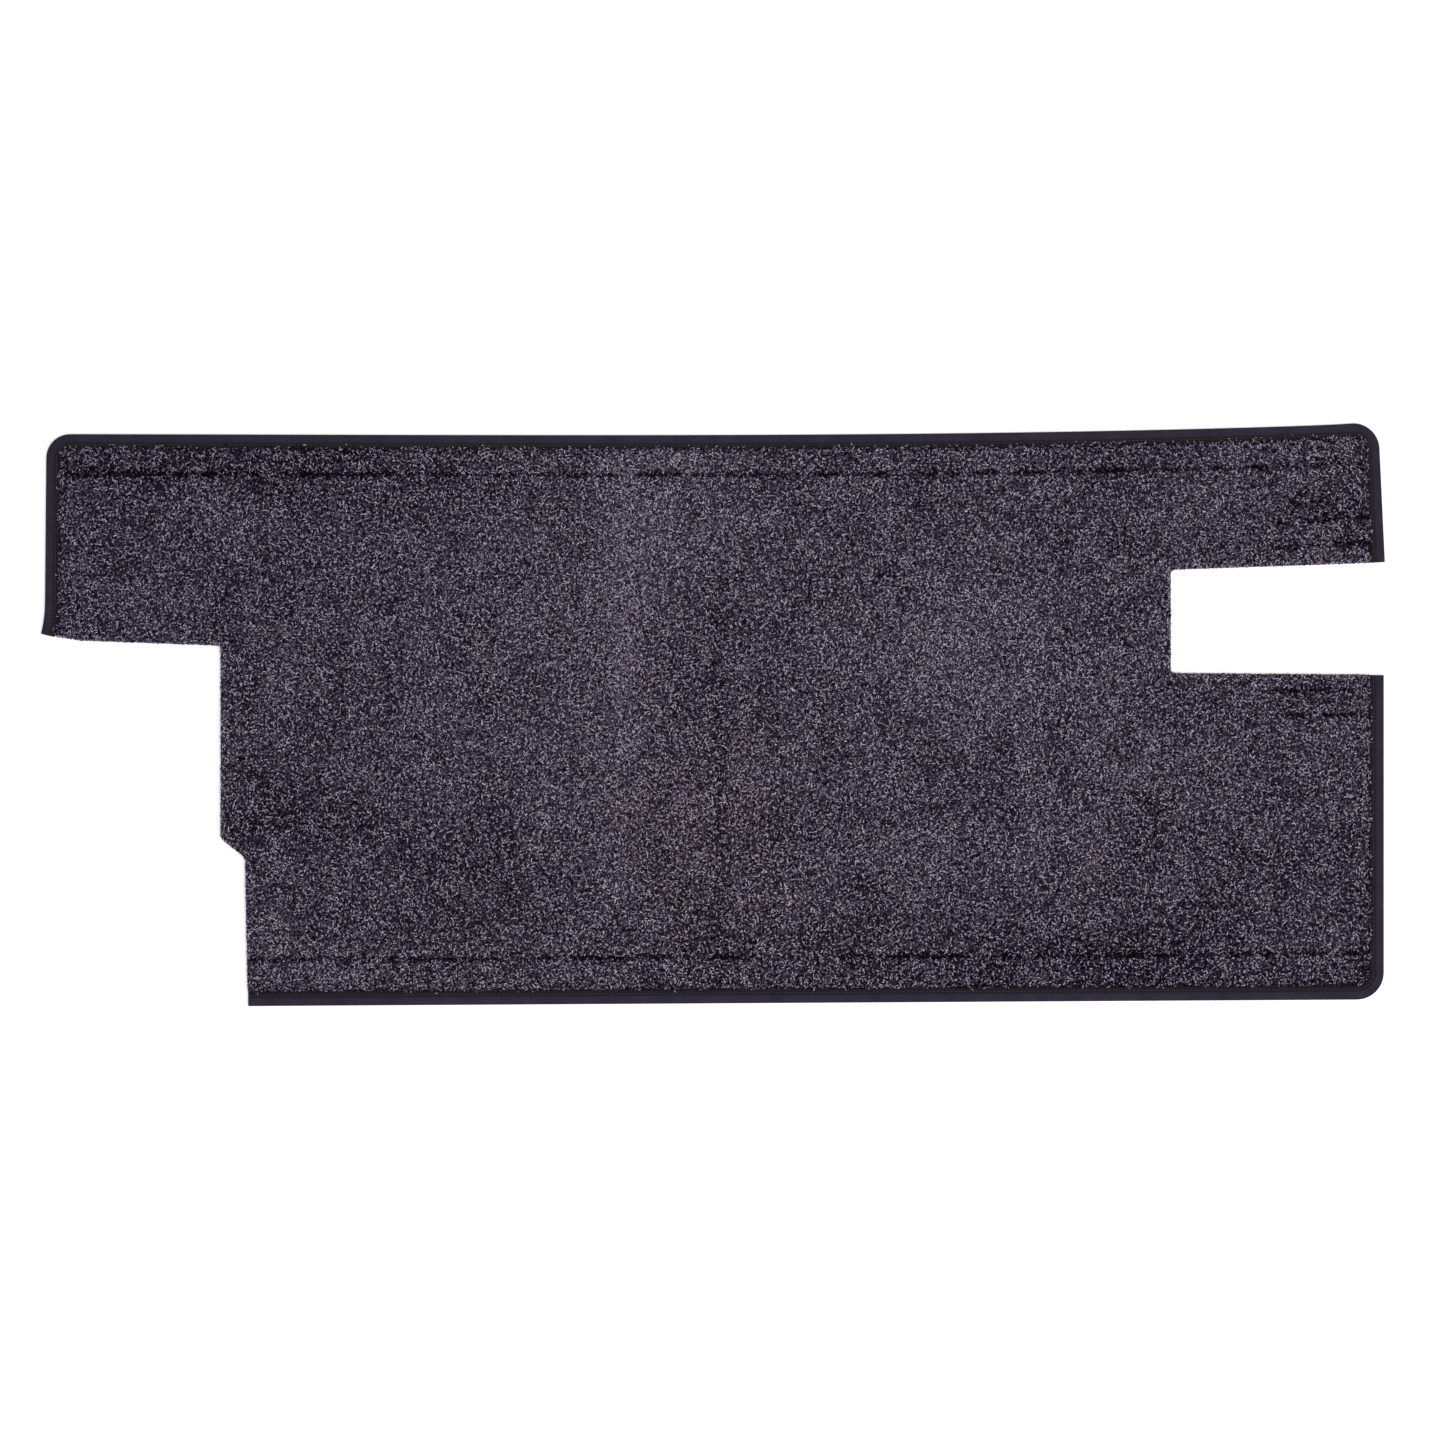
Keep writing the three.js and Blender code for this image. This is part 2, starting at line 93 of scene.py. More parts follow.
class OutlineSizes(bpy.types.PropertyGroup):
    """Sizes of the mat's outline, seen from above with the slack back edge at the top."""

    mat_length: length("Length", 1115.4, "From the wing's tip to the upper arm's tip")
    mat_width: length("Width", 483.8, "From the front edge's lowest point to the back edge")
    back_left_radius: length("Back left radius", 20, "Corner of the back edge and the wing")
    back_right_radius: length("Back right radius", 22, "Corner of the back edge and the arm")
    front_right_radius: length("Front right radius", 22.5, "Corner of the front edge and the arm")
    back_edge_fall: length("Back edge fall", 9, "How far the back edge drops towards the wing")
    back_edge_bow: length("Back edge bow", 5.6, "How far the slack back edge bows in")
    front_edge_rise: length("Front edge rise", 5.4, "How far the front edge rises to the right")
    left_edge_lean: length("Left edge lean", 1.3, "How far the wing's left edge leans out")
    wing_tip_flare: length("Wing tip flare", 3.1, "How far the wing's tip curls out")
    wing_tip_flare_length: length("Flare length", 26, "Length of the wing tip's curl")
    upper_arm_lean: length("Upper arm lean", 4.4, "How far the upper arm's end leans out")
    lower_arm_inset: length("Lower arm inset", 0.9, "How far the lower arm's end stands back")
    wing_length: length("Wing length", 149.7, "From the wing's tip to the left cut")
    wing_tip_width: length("Wing tip width", 165.8, "Height of the wing at its tip")
    wing_tip_cut_length: length("Wing tip cut length", 34, "Length of the steeper cut at the tip")
    wing_tip_cut_fall: length("Wing tip cut fall", 5.3, "Drop of the steeper cut at the tip")
    wing_cut_fall: length("Wing cut fall", 9.6, "Drop of the whole cut under the wing")
    step_from_front: length("Step height", 139.6, "From the front edge to the slanted step")
    step_length: length("Step length", 16.2, "Height of the slanted step")
    step_width: length("Step width", 20.2, "Width of the slanted step")
    front_cut_lean: length("Front cut lean", 2.4, "Lean of the cut below the step")
    cut_corner_radius: length("Cut corner radius", 2.5, "Rounding of the left cut's corners")
    notch_from_front: length("Notch height", 276.2, "From the front edge to the notch")
    notch_depth: length("Notch depth", 178.3, "From the upper arm's tip to the notch's floor")
    notch_floor_width: length("Notch floor width", 86.2, "Width of the notch at its floor")
    notch_upper_flare: length("Notch upper flare", 6.2, "How far its upper side opens out")
    notch_lower_flare: length("Notch lower flare", 1.4, "How far its lower side opens out")
    notch_corner_radius: length("Notch corner radius", 4.2, "Rounding of the notch's corners")


class PileSizes(bpy.types.PropertyGroup):
    """Sizes and colours of the carpet and its pile."""

    backing_height: length("Backing height", 1.6, "Height of the carpet's underside")
    thickness: length("Carpet thickness", 6.5, "Carpet with its pile")
    sewn_thickness: length("Sewn thickness", 3.2, "Carpet pressed flat under the tape")
    rise_start: length("Rise start", 0.5, "Step of the pile beside the tape")
    rise_length: length("Rise length", 5, "Length over which the pile rises beside the tape")
    cut_rounding: length("Cut rounding", 1.6, "Rounding of the pile at a raw cut")
    valley_width: length("Valley width", 4.4, "Width of the valley along a row of stitches")
    valley_depth: length("Valley depth", 2.6, "Depth of the valley along a row of stitches")
    mesh_step: length("Mesh step", 2.7, "Spacing of the carpet's mesh")
    tuft_relief: length("Tuft relief", 0.6, "Height of the pile's tufts")
    locks_per_square_metre: amount("Locks per m2", 268000, "Yarn locks", 0, 1e6)
    lock_size: amount("Lock size", 0.72, "Size of a yarn lock next to its drawn size", 0.1, 3)
    # The dark yarn is also the painted shade deep between the curls: on the pile's ground and on locks
    # where the pile is sunk
    dark_yarn_and_shade: colour("Dark yarn", "#0b070f", "Darkest yarn, deep between the curls")
    base_yarn: colour("Base yarn", "#4a4151", "Most of the yarn")
    grey_yarn: colour("Grey yarn", "#8c8397", "Lighter yarn of the melange")
    light_yarn: colour("Light yarn", "#ccc3d8", "Palest curls of the melange")
    warm_tint: colour("Warm tint", "#fffbee", "Dye of the melange's faint warm patches")
    cool_tint: colour("Cool tint", "#f4f6ff", "Dye of the melange's faint cool patches")
    backing: colour("Backing", "#2a282c", "Coated underside")


class TapeSizes(bpy.types.PropertyGroup):
    """Sizes and colours of the edge tape."""

    thickness: length("Tape thickness", 0.9, "Thickness of the folded tape")
    top_lap: length("Top lap", 11.6, "Width of the tape over the pile side")
    under_lap: length("Under lap", 10.2, "Width of the tape under the backing")
    nose: length("Nose", 1.8, "Roundness of the tape's outer edge")
    crown: length("Crown", 0.25, "Rise of the tape between its nose and its seam")
    seam_inset: length("Seam inset", 8.8, "From the mat's edge to the seam")
    seam_half_width: length("Seam half width", 1.4, "Half the width of the seam's groove")
    seam_depth: length("Seam depth", 0.45, "Depth of the seam's groove")
    dimple: length("Stitch dimple", 0.16, "How far each stitch draws the tape in")
    pucker: length("Pucker", 0.14, "Height of the tape's soft cross wrinkles")
    gap: length("Edge gap", 0.3, "Room between the tape and the carpet")
    ring_step: length("Ring step", 1.75, "Spacing of the tape's mesh along the edge")
    # The tape's shade and ridge colours are the painted shade and painted highlight of its weave, set
    # by the weave's height and cloudy patches
    face: colour("Tape face", "#231d2e", "Woven face of the tape")
    shade: colour("Tape shade", "#120e18", "Tape in its seam and beside the pile")
    ridge_highlight: colour("Tape ridge", "#2f2939", "Ridge of the tape, which catches the light")


class StripSizes(bpy.types.PropertyGroup):
    """Sizes and colours of the hook strips on the underside."""

    thickness: length("Strip thickness", 1.6, "Ground and hooks together")
    ground: length("Ground thickness", 0.6, "Woven ground of the strip")
    selvedge: length("Selvedge", 2.6, "Bare edge of the strip, which the seam runs in")
    back_width: length("Back strip width", 25, "Strip under the back edge")
    front_width: length("Front strip width", 30, "Strip under the front edge")
    arm_width: length("Arm strip width", 25, "Short strips under the arms")
    arm_length: length("Arm strip length", 79, "Length of the short strips")
    stitch_margin: length("Stitch margin", 2.1, "From a strip's edge to its seam")
    gap: length("Strip gap", 0.3, "Room between a strip and the tape's under lap")
    upper_row: length("Upper arm row", 17.6, "From the notch to the upper arm's first row")
    lower_row: length("Lower arm row", 11.5, "From the notch to the lower arm's first row")
    upper_angle: amount("Upper arm angle", 4, "Slant of the upper arm's strip in degrees", -90, 90)
    lower_angle: amount("Lower arm angle", 1, "Slant of the lower arm's strip in degrees", -90, 90)
    hook_step: length("Hook step", 2.5, "Spacing of the hooks along the strip")
    row_step: length("Hook row step", 2.2, "Spacing of the rows of hooks")
    ground_colour: colour("Ground", "#1f1d23", "Woven ground of the strip")
    hook_colour: colour("Hooks", "#2d2b33", "Nylon hooks")


class ThreadSizes(bpy.types.PropertyGroup):
    """Sizes and colour of the sewing thread."""

    stitch: length("Stitch", 3.6, "Length of one stitch with its gap")
    thickness: length("Thread thickness", 0.55, "Thickness of the thread")
    thread: colour("Thread", "#221e29", "Sewing thread")


class StageSizes(bpy.types.PropertyGroup):
    """Light, floor and camera."""

    sky: amount("Sky", 0.5, "Strength of the even light from all round", 0, 10)
    lamp: amount("Lamp", 27, "Power of the soft lamp above in watts", 0, 1000)
    lamp_size: length("Lamp size", 1300, "Width of the soft lamp")
    frame_width: length("Frame width", 1199.35, "Width of the view at the edge's height")
    centre_x: bpy.props.FloatProperty(
        name="View centre X", description="Middle of the view", default=7.97 * MM, unit="LENGTH"
    )
    centre_y: bpy.props.FloatProperty(
        name="View centre Y", description="Middle of the view", default=-6.47 * MM, unit="LENGTH"
    )
    camera_height: length("Camera height", 3200, "Height of the camera above the edge")
    floor_colour: colour("Floor", "#f4f4f4", "Plain pale floor")


# Outline


def places(o):
    """Named places on the outline, worked out from its sizes."""
    left, right = -o.mat_length / 2, o.mat_length / 2
    front, back = -o.mat_width / 2, o.mat_width / 2
    at = SimpleNamespace(sizes=o, left=left, right=right, front=front, back=back)
    at.back_left = (left + o.left_edge_lean + o.wing_tip_flare, back - o.back_edge_fall)
    at.back_right_x = right - o.upper_arm_lean
    at.front_right = (right - o.lower_arm_inset, front + o.front_edge_rise)
    at.wing_tip = (left, at.back_left[1] - o.wing_tip_width)
    cut_x = left + o.wing_length
    step_x = cut_x + o.step_width
    step_top = front + o.step_from_front
    floor_x = right - o.notch_depth
    notch_low = front + o.notch_from_front
    notch_high = notch_low + o.notch_floor_width
    at.step_x, at.notch_low = step_x, notch_low
    at.front_left = (step_x + o.front_cut_lean, front)
    at.lower_mouth = (at.front_right[0], notch_low - o.notch_lower_flare)
    at.upper_mouth = (right, notch_high + o.notch_upper_flare)
    at.notch_floor = ((floor_x, notch_low), (floor_x, notch_high))
    at.wing_shoulder = (left + o.wing_tip_cut_length, at.wing_tip[1] - o.wing_tip_cut_fall)
    at.wing_root = (cut_x, at.wing_tip[1] - o.wing_cut_fall)
    at.step_top = (cut_x, step_top)
    at.step_foot = (step_x, step_top - o.step_length)
    return at


def back_edge_y(at, x):
    """The back edge's height at x. It falls towards the wing and bows in between its corners."""
    o = at.sizes
    start = at.back_left[0] + o.back_left_radius
    end = at.back_right_x - o.back_right_radius
    share = np.clip((np.asarray(x, float) - start) / (end - start), 0, 1)
    wave = np.maximum(0, np.sin(np.pi * share**1.5)) ** 0.7
    return at.back_left[1] + (at.back - at.back_left[1]) * share - o.back_edge_bow * wave


def front_edge_y(at, x):
    """The straight front edge's height at x."""
    end = at.front_right[0] - at.sizes.front_right_radius
    share = (np.asarray(x, float) - at.front_left[0]) / (end - at.front_left[0])
    return at.front + (at.front_right[1] - at.front) * share


def right_edge_x(at, y):
    """The right edge's place at y, above or below the notch."""
    if y < at.notch_low:
        return at.front_right[0]
    top = at.back - at.sizes.back_right_radius
    return at.right - at.sizes.upper_arm_lean * (y - at.upper_mouth[1]) / (top - at.upper_mouth[1])


def arc(centre, radius, first, last, legs=14):
    """Points of an arc from one angle to another, in quarter turns."""
    angle = np.linspace(first, last, legs + 1) * np.pi / 2
    return np.column_stack((np.cos(angle), np.sin(angle))) * radius + centre


def rounded(before, corner, after, radius, legs=6):
    """A corner rounded by a quadratic curve."""
    before, corner, after = (np.array(p, float) for p in (before, corner, after))
    start = corner + (before - corner) / np.linalg.norm(before - corner) * radius
    end = corner + (after - corner) / np.linalg.norm(after - corner) * radius
    t = np.linspace(0, 1, legs + 1)[:, None]
    return start * (1 - t) ** 2 + corner * 2 * t * (1 - t) + end * t**2


def front_tape_edge(at):
    """The edge that the front tape runs round, from the left cut to the notch."""
    radius = at.sizes.front_right_radius
    centre = (at.front_right[0] - radius, at.front_right[1] + radius)
    return np.vstack([[at.front_left], arc(centre, radius, -1, 0), [at.lower_mouth]])


def back_tape_edge(at):
    """The edge that the back tape runs round, from the notch to the wing's tip."""
    o = at.sizes
    right_radius, left_radius = o.back_right_radius, o.back_left_radius
    x = np.linspace(at.back_right_x - right_radius, at.back_left[0] + left_radius, 90)[1:-1]
    y = at.wing_tip[1] + o.wing_tip_flare_length * np.linspace(1, 0, 13)
    top = at.back_left[1] - left_radius
    lean = o.left_edge_lean * (y - top) / (at.wing_tip[1] - top)
    curl = np.maximum(0, 1 - (y - at.wing_tip[1]) / o.wing_tip_flare_length) ** 2
    wing_x = at.back_left[0] - lean - o.wing_tip_flare * curl
    right_centre = (at.back_right_x - right_radius, at.back - right_radius)
    left_centre = (at.back_left[0] + left_radius, at.back_left[1] - left_radius)
    return np.vstack(
        [
            [at.upper_mouth],
            arc(right_centre, right_radius, 0, 1),
            np.column_stack((x, back_edge_y(at, x))),
            arc(left_centre, left_radius, 1, 2),
            np.column_stack((wing_x, y)),
        ]
    )


def notch_cut(at):
    """The raw cut round the notch."""
    low, high = at.notch_floor
    radius = at.sizes.notch_corner_radius
    return np.vstack(
        [
            [at.lower_mouth],
            rounded(at.lower_mouth, low, high, radius),
            rounded(low, high, at.upper_mouth, radius),
            [at.upper_mouth],
        ]
    )


def left_cut(at):
    """The raw cut under the wing, down the left side and over its slanted step."""
    radius = at.sizes.cut_corner_radius
    return np.vstack(
        [
            [at.wing_tip, at.wing_shoulder],
            rounded(at.wing_shoulder, at.wing_root, at.step_top, radius),
            rounded(at.wing_root, at.step_top, at.step_foot, radius),
            rounded(at.step_top, at.step_foot, at.front_left, radius),
            [at.front_left],
        ]
    )


def inside(line, distance):
    """A line of points moved to its left by a distance, mitred at its bends."""
    legs = np.diff(line, axis=0)
    legs /= np.linalg.norm(legs, axis=1)[:, None]
    normals = np.column_stack((-legs[:, 1], legs[:, 0]))
    first, last = np.vstack([normals[:1], normals]), np.vstack([normals, normals[-1:]])
    mitre = (first + last) / (1 + (first * last).sum(axis=1))[:, None]
    return line + mitre * distance


def spaced(line, step):
    """The same line with evenly spaced points."""
    reach = np.concatenate([[0], np.cumsum(np.linalg.norm(np.diff(line, axis=0), axis=1))])
    marks = np.linspace(0, reach[-1], max(2, round(reach[-1] / step) + 1))
    return np.column_stack([np.interp(marks, reach, line[:, axis]) for axis in (0, 1)])


def distance_to(line, spots):
    """Each spot's distance to a line of points."""
    nearest = np.full(len(spots), np.inf)
    for start, end in zip(line[:-1], line[1:], strict=True):
        leg = end - start
        share = np.clip((spots - start) @ leg / (leg @ leg), 0, 1)
        nearest = np.minimum(nearest, np.linalg.norm(spots - start - share[:, None] * leg, axis=1))
    return nearest


def within(outline, spots):
    """Which spots lie inside a closed outline."""
    found = np.zeros(len(spots), bool)
    for a, b in zip(outline, np.roll(outline, -1, axis=0), strict=True):
        crosses = (a[1] > spots[:, 1]) != (b[1] > spots[:, 1])
        rise = b[1] - a[1] if b[1] != a[1] else 1
        found ^= crosses & (spots[:, 0] < a[0] + (b[0] - a[0]) * (spots[:, 1] - a[1]) / rise)
    return found


def soft_noise(spots, size, seed):
    """Smooth random values from -1 to 1 with features of about that size."""
    places_in = spots / size + 1000
    cell = np.floor(places_in).astype(int)
    share = places_in - cell
    share = share * share * (3 - 2 * share)
    low = cell.min(axis=0)
    table = np.random.default_rng(seed).uniform(-1, 1, cell.max(axis=0) - low + 2)
    i, j = (cell - low).T
    u, v = share.T
    near = table[i, j] * (1 - u) + table[i + 1, j] * u
    far = table[i, j + 1] * (1 - u) + table[i + 1, j + 1] * u
    return near * (1 - v) + far * v


# Seams and strips


def strip_places(at, strips, tape):
    """Each hook strip as (name, its line on the outer side, its width, which way is inward)."""
    inset = tape.under_lap + strips.gap
    x = np.linspace(at.back_left[0] + inset, right_edge_x(at, at.back - inset) - inset, 240)
    back = np.column_stack((x, back_edge_y(at, x) - inset))
    x = np.linspace(at.front_left[0] + strips.stitch_margin, at.front_right[0] - inset, 2)
    front = np.column_stack((x, front_edge_y(at, x) + inset))
    arms = []
    for mouth, row, towards, degrees in (
        (at.upper_mouth, strips.upper_row, 1, strips.upper_angle),
        (at.lower_mouth, strips.lower_row, -1, strips.lower_angle),
    ):
        seam_spacing = strips.arm_width - 2 * strips.stitch_margin
        y = mouth[1] + towards * (row + seam_spacing / 2)
        axis = np.array([math.cos(math.radians(degrees)), math.sin(math.radians(degrees))])
        end = np.array([right_edge_x(at, y), y]) - axis * inset
        arms.append(inside(np.array([end - axis * strips.arm_length, end]), -strips.arm_width / 2))
    return {
        "back_hook_strip": (back, strips.back_width, -1),
        "front_hook_strip": (front, strips.front_width, 1),
        "upper_arm_hook_strip": (arms[0], strips.arm_width, 1),
        "lower_arm_hook_strip": (arms[1], strips.arm_width, 1),
    }


def across(place, distance):
    """The line at a distance inside a strip's outer side."""
    line, _, inward = place
    return inside(line, inward * distance)


def shown_rows(at, strips, tape):
    """The rows of stitches that show as valleys in the pile."""
    laid = strip_places(at, strips, tape)
    margin = strips.stitch_margin
    clear = tape.top_lap + tape.gap
    back = across(laid["back_hook_strip"], strips.back_width - margin)
    front = across(laid["front_hook_strip"], strips.front_width - margin)
    rows = [
        back[(back[:, 0] > at.back_left[0] + clear) & (back[:, 0] < at.back_right_x - clear)],
        np.array([[at.step_x + 3 * MM, front[0, 1]], front[1]]),
    ]
    for name in ("upper_arm_hook_strip", "lower_arm_hook_strip"):
        rows += [across(laid[name], margin), across(laid[name], strips.arm_width - margin)]
    return rows


# Meshes, nodes and pieces


def link(name, mesh):
    """Puts a mesh into the scene as an object at the origin."""
    item = bpy.data.objects.new(name, mesh)
    bpy.context.scene.collection.objects.link(item)
    return item


def mesh_of(name, verts, faces=(), edges=(), smooth=True):
    """A mesh from plain lists."""
    mesh = bpy.data.meshes.new(name)
    mesh.from_pydata([tuple(v) for v in verts], list(edges), list(faces), shade_flat=not smooth)
    return mesh


def note(mesh, name, values, domain="POINT"):
    """Keeps one number for each point of a mesh, for nodes to read."""
    mesh.attributes.new(name, "FLOAT", domain).data.foreach_set("value", np.asarray(values, "f"))


def drop(*items):
    """Removes helper objects and their meshes."""
    for item in items:
        mesh = item.data
        bpy.data.objects.remove(item)
        bpy.data.meshes.remove(mesh)


def finished(piece, slot, *nodes):
    """Hands a piece to the frame: its body and the CAD nodes it stands for; the slot is not used."""
    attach(piece, "root")
    if nodes:
        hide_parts(*nodes)
    return piece


def add(tree, kind, settings=None, inputs=None):
    """Adds a node. inputs are values or outputs of other nodes, by socket name or number."""
    node = tree.nodes.new(kind)
    for name, value in (settings or {}).items():
        setattr(node, name, value)
    for key, value in (inputs or {}).items():
        many = value if isinstance(value, list) else [value]
        for one in many:
            if isinstance(one, bpy.types.NodeSocket):
                tree.links.new(one, node.inputs[key])
            else:
                node.inputs[key].default_value = one
    return node


def new_tree(name, inputs):
    """A Geometry Nodes tree with named inputs, given as (name, socket kind, default)."""
    tree = bpy.data.node_groups.new(name, "GeometryNodeTree")
    face = tree.interface
    face.new_socket(name="Geometry", in_out="INPUT", socket_type="NodeSocketGeometry")
    face.new_socket(name="Geometry", in_out="OUTPUT", socket_type="NodeSocketGeometry")
    for label, kind, default in inputs:
        socket = face.new_socket(name=label, in_out="INPUT", socket_type="NodeSocket" + kind)
        if default is not None:
            socket.default_value = default
    return tree, add(tree, "NodeGroupInput").outputs


def close_tree(tree, geometry, material):
    """Ends a tree in plain geometry with its material."""
    real = add(tree, "GeometryNodeRealizeInstances", inputs={"Geometry": geometry})
    dyed = add(
        tree, "GeometryNodeSetMaterial", inputs={"Geometry": real.outputs[0], "Material": material}
    )
    add(tree, "NodeGroupOutput", inputs={0: dyed.outputs[0]})


def grown(name, carrier, tree, values):
    """Runs a tree on a carrier mesh and returns the result as a plain piece."""
    modifier = carrier.modifiers.new(name, "NODES")
    modifier.node_group = tree
    wanted = {i.name: i.identifier for i in tree.interface.items_tree if i.in_out == "INPUT"}
    for label, value in values.items():
        modifier[wanted[label]] = value
    shaped = carrier.evaluated_get(bpy.context.evaluated_depsgraph_get())
    mesh = bpy.data.meshes.new_from_object(shaped)
    drop(carrier)
    return link(name, mesh)


def tube(points, radii, sides):
    """Verts, faces and (along, side) of a closed tube that runs to a point at both ends."""
    points = [Vector(p) for p in points]
    verts, marks = [points[0]], [(0.0, 0.5)]
    last = len(points) - 1
    for i in range(1, last):
        along = (points[i + 1] - points[i - 1]).normalized()
        aside = along.cross(Vector(UP)).normalized()
        over = aside.cross(along)
        for k in range(sides):
            angle = 2 * math.pi * k / sides + 0.5
            verts.append(points[i] + (aside * math.cos(angle) + over * math.sin(angle)) * radii[i])
            marks.append((i / last, k / (sides - 1)))
    verts.append(points[last])
    marks.append((1.0, 0.5))
    tip = len(verts) - 1
    faces = []
    for k in range(sides):
        here, beside = 1 + k, 1 + (k + 1) % sides
        faces.append((0, beside, here))
        for i in range(last - 2):
            a, b = here + i * sides, beside + i * sides
            faces += [(a, b, b + sides), (a, b + sides, a + sides)]
        end = (last - 2) * sides
        faces.append((here + end, beside + end, tip))
    return verts, faces, marks


def template(name, points, radii, sides=3):
    """A helper object that Geometry Nodes repeat, with its unwrapped place in its UV map."""
    verts, faces, marks = tube(points, radii, sides)
    mesh = mesh_of(name, verts, faces)
    unwrapped = mesh.uv_layers.new(name="Strand")
    for loop in mesh.loops:
        unwrapped.data[loop.index].uv = marks[loop.vertex_index]
    return link(name, mesh)


# Materials


def new_material(name, surface):
    """A material with a Principled surface, and its tree and shader."""
    material = bpy.data.materials.new(name)
    material.use_nodes = True
    tree = material.node_tree
    tree.nodes.clear()
    shader = add(tree, "ShaderNodeBsdfPrincipled", inputs=surface)
    add(tree, "ShaderNodeOutputMaterial", inputs={"Surface": shader.outputs[0]})
    return material, tree, shader


def ramp(tree, factor, stops):
    """A colour for each factor, from stops of (place, linear colour)."""
    node = add(tree, "ShaderNodeValToRGB", inputs={"Fac": factor})
    elements = node.color_ramp.elements
    elements[0].position, elements[1].position = stops[0][0], stops[-1][0]
    elements[0].color, elements[1].color = (*stops[0][1], 1), (*stops[-1][1], 1)
    for place, shade in stops[1:-1]:
        elements.new(place).color = (*shade, 1)
    return node.outputs["Color"]


def melange_yarn(pile):
    """Wool-look polypropylene yarn, crimped and cut: matt curls of mixed greys.

    The eye sees pale lilac-grey curls over near-black gaps. Each lock's own shade, which holds painted
    shade where the pile is sunk and painted light and shade from its lay, and its warm tint are in its
    Strand map, v for the shade and u for the tint.
    """
    material, tree, shader = new_material(
        "crimped melange yarn", {"Roughness": 0.95, "Specular IOR Level": 0.08}
    )
    strand = add(tree, "ShaderNodeUVMap", {"uv_map": "Strand"})
    parts = add(tree, "ShaderNodeSeparateXYZ", inputs={0: strand.outputs[0]})
    shades = ramp(
        tree,
        parts.outputs["Y"],
        [
            (0.0, pile.dark_yarn_and_shade),
            (0.18, pile.dark_yarn_and_shade),
            (0.34, pile.base_yarn),
            (0.58, pile.grey_yarn),
            (0.97, pile.light_yarn),
        ],
    )
    tree.links.new(tinted(tree, shades, parts.outputs["X"], pile), shader.inputs["Base Color"])
    return material


def tinted(tree, shades, warmth, pile):
    """Shades dyed from a cool tint to a warm one."""
    plain = (1.0, 1.0, 1.0)
    dye = ramp(tree, warmth, [(0.0, pile.cool_tint), (0.5, plain), (1.0, pile.warm_tint)])
    mixed = add(
        tree,
        "ShaderNodeMix",
        {"data_type": "RGBA", "blend_type": "MULTIPLY"},
        {"Factor": 1.0, 6: shades, 7: dye},
    )
    return mixed.outputs[2]


def pile_ground(pile):
    """The pile's own depth under its curls: crimped yarn with a fine speckle, painted dark as the shade
    deep in the pile.

    Grain of 1.4 mm, the width of a crimp, with painted shade where the pile is sunk and painted light
    and shade in patches as large as the pile's lay.
    """
    material, tree, shader = new_material(
        "crimped pile ground", {"Roughness": 1.0, "Specular IOR Level": 0.0}
    )
    where = add(tree, "ShaderNodeTexCoord").outputs["Object"]
    grain = add(
        tree,
        "ShaderNodeTexNoise",
        inputs={"Vector": where, "Scale": 1 / (1.4 * MM), "Detail": 2, "Roughness": 0.6},
    )
    sunk = add(tree, "ShaderNodeAttribute", {"attribute_name": "sunk"}).outputs["Fac"]
    lay = add(tree, "ShaderNodeAttribute", {"attribute_name": "lay"}).outputs["Fac"]
    # Painted shade on the ground where the pile is sunk
    sunk_shaded_grain = add(
        tree,
        "ShaderNodeMath",
        {"operation": "MULTIPLY_ADD"},
        {0: sunk, 1: -0.25, 2: grain.outputs["Fac"]},
    )
    tone = add(
        tree, "ShaderNodeMath", {"operation": "MULTIPLY_ADD"}, {0: lay, 1: 0.1, 2: sunk_shaded_grain.outputs[0]}
    )
    shades = ramp(
        tree, tone.outputs[0], [(0.47, pile.dark_yarn_and_shade), (0.6, pile.base_yarn), (0.75, pile.grey_yarn)]
    )
    warm = add(tree, "ShaderNodeAttribute", {"attribute_name": "warm"}).outputs["Fac"]
    tree.links.new(tinted(tree, shades, warm, pile), shader.inputs["Base Color"])
    bump = add(
        tree,
        "ShaderNodeBump",
        inputs={"Height": grain.outputs["Fac"], "Distance": 0.7 * MM, "Strength": 0.8},
    )
    tree.links.new(bump.outputs[0], shader.inputs["Normal"])
    return material


def coated_backing(pile):
    """Latex-coated needle felt, rolled on: a dull dark skin with fine pits and faint fibres."""
    material, tree, shader = new_material(
        "latex-coated felt backing", {"Roughness": 0.8, "Specular IOR Level": 0.35}
    )
    where = add(tree, "ShaderNodeTexCoord").outputs["Object"]
    pits = add(
        tree,
        "ShaderNodeTexVoronoi",
        inputs={"Vector": where, "Scale": 1 / (2.2 * MM), "Randomness": 0.8},
    )
    fleck = add(
        tree,
        "ShaderNodeTexNoise",
        inputs={"Vector": where, "Scale": 1 / (9 * MM), "Detail": 5, "Roughness": 0.7},
    )
    mixed = add(
        tree,
        "ShaderNodeMath",
        {"operation": "MULTIPLY_ADD"},
        {0: pits.outputs["Distance"], 1: 0.25, 2: fleck.outputs["Fac"]},
    )
    dark = tuple(0.6 * c for c in pile.backing)
    light = tuple(1.5 * c for c in pile.backing)
    shades = ramp(tree, mixed.outputs[0], [(0.4, dark), (0.62, pile.backing), (0.85, light)])
    tree.links.new(shades, shader.inputs["Base Color"])
    bump = add(
        tree,
        "ShaderNodeBump",
        inputs={"Height": mixed.outputs[0], "Distance": 0.4 * MM, "Strength": 0.6},
    )
    tree.links.new(bump.outputs[0], shader.inputs["Normal"])
    return material


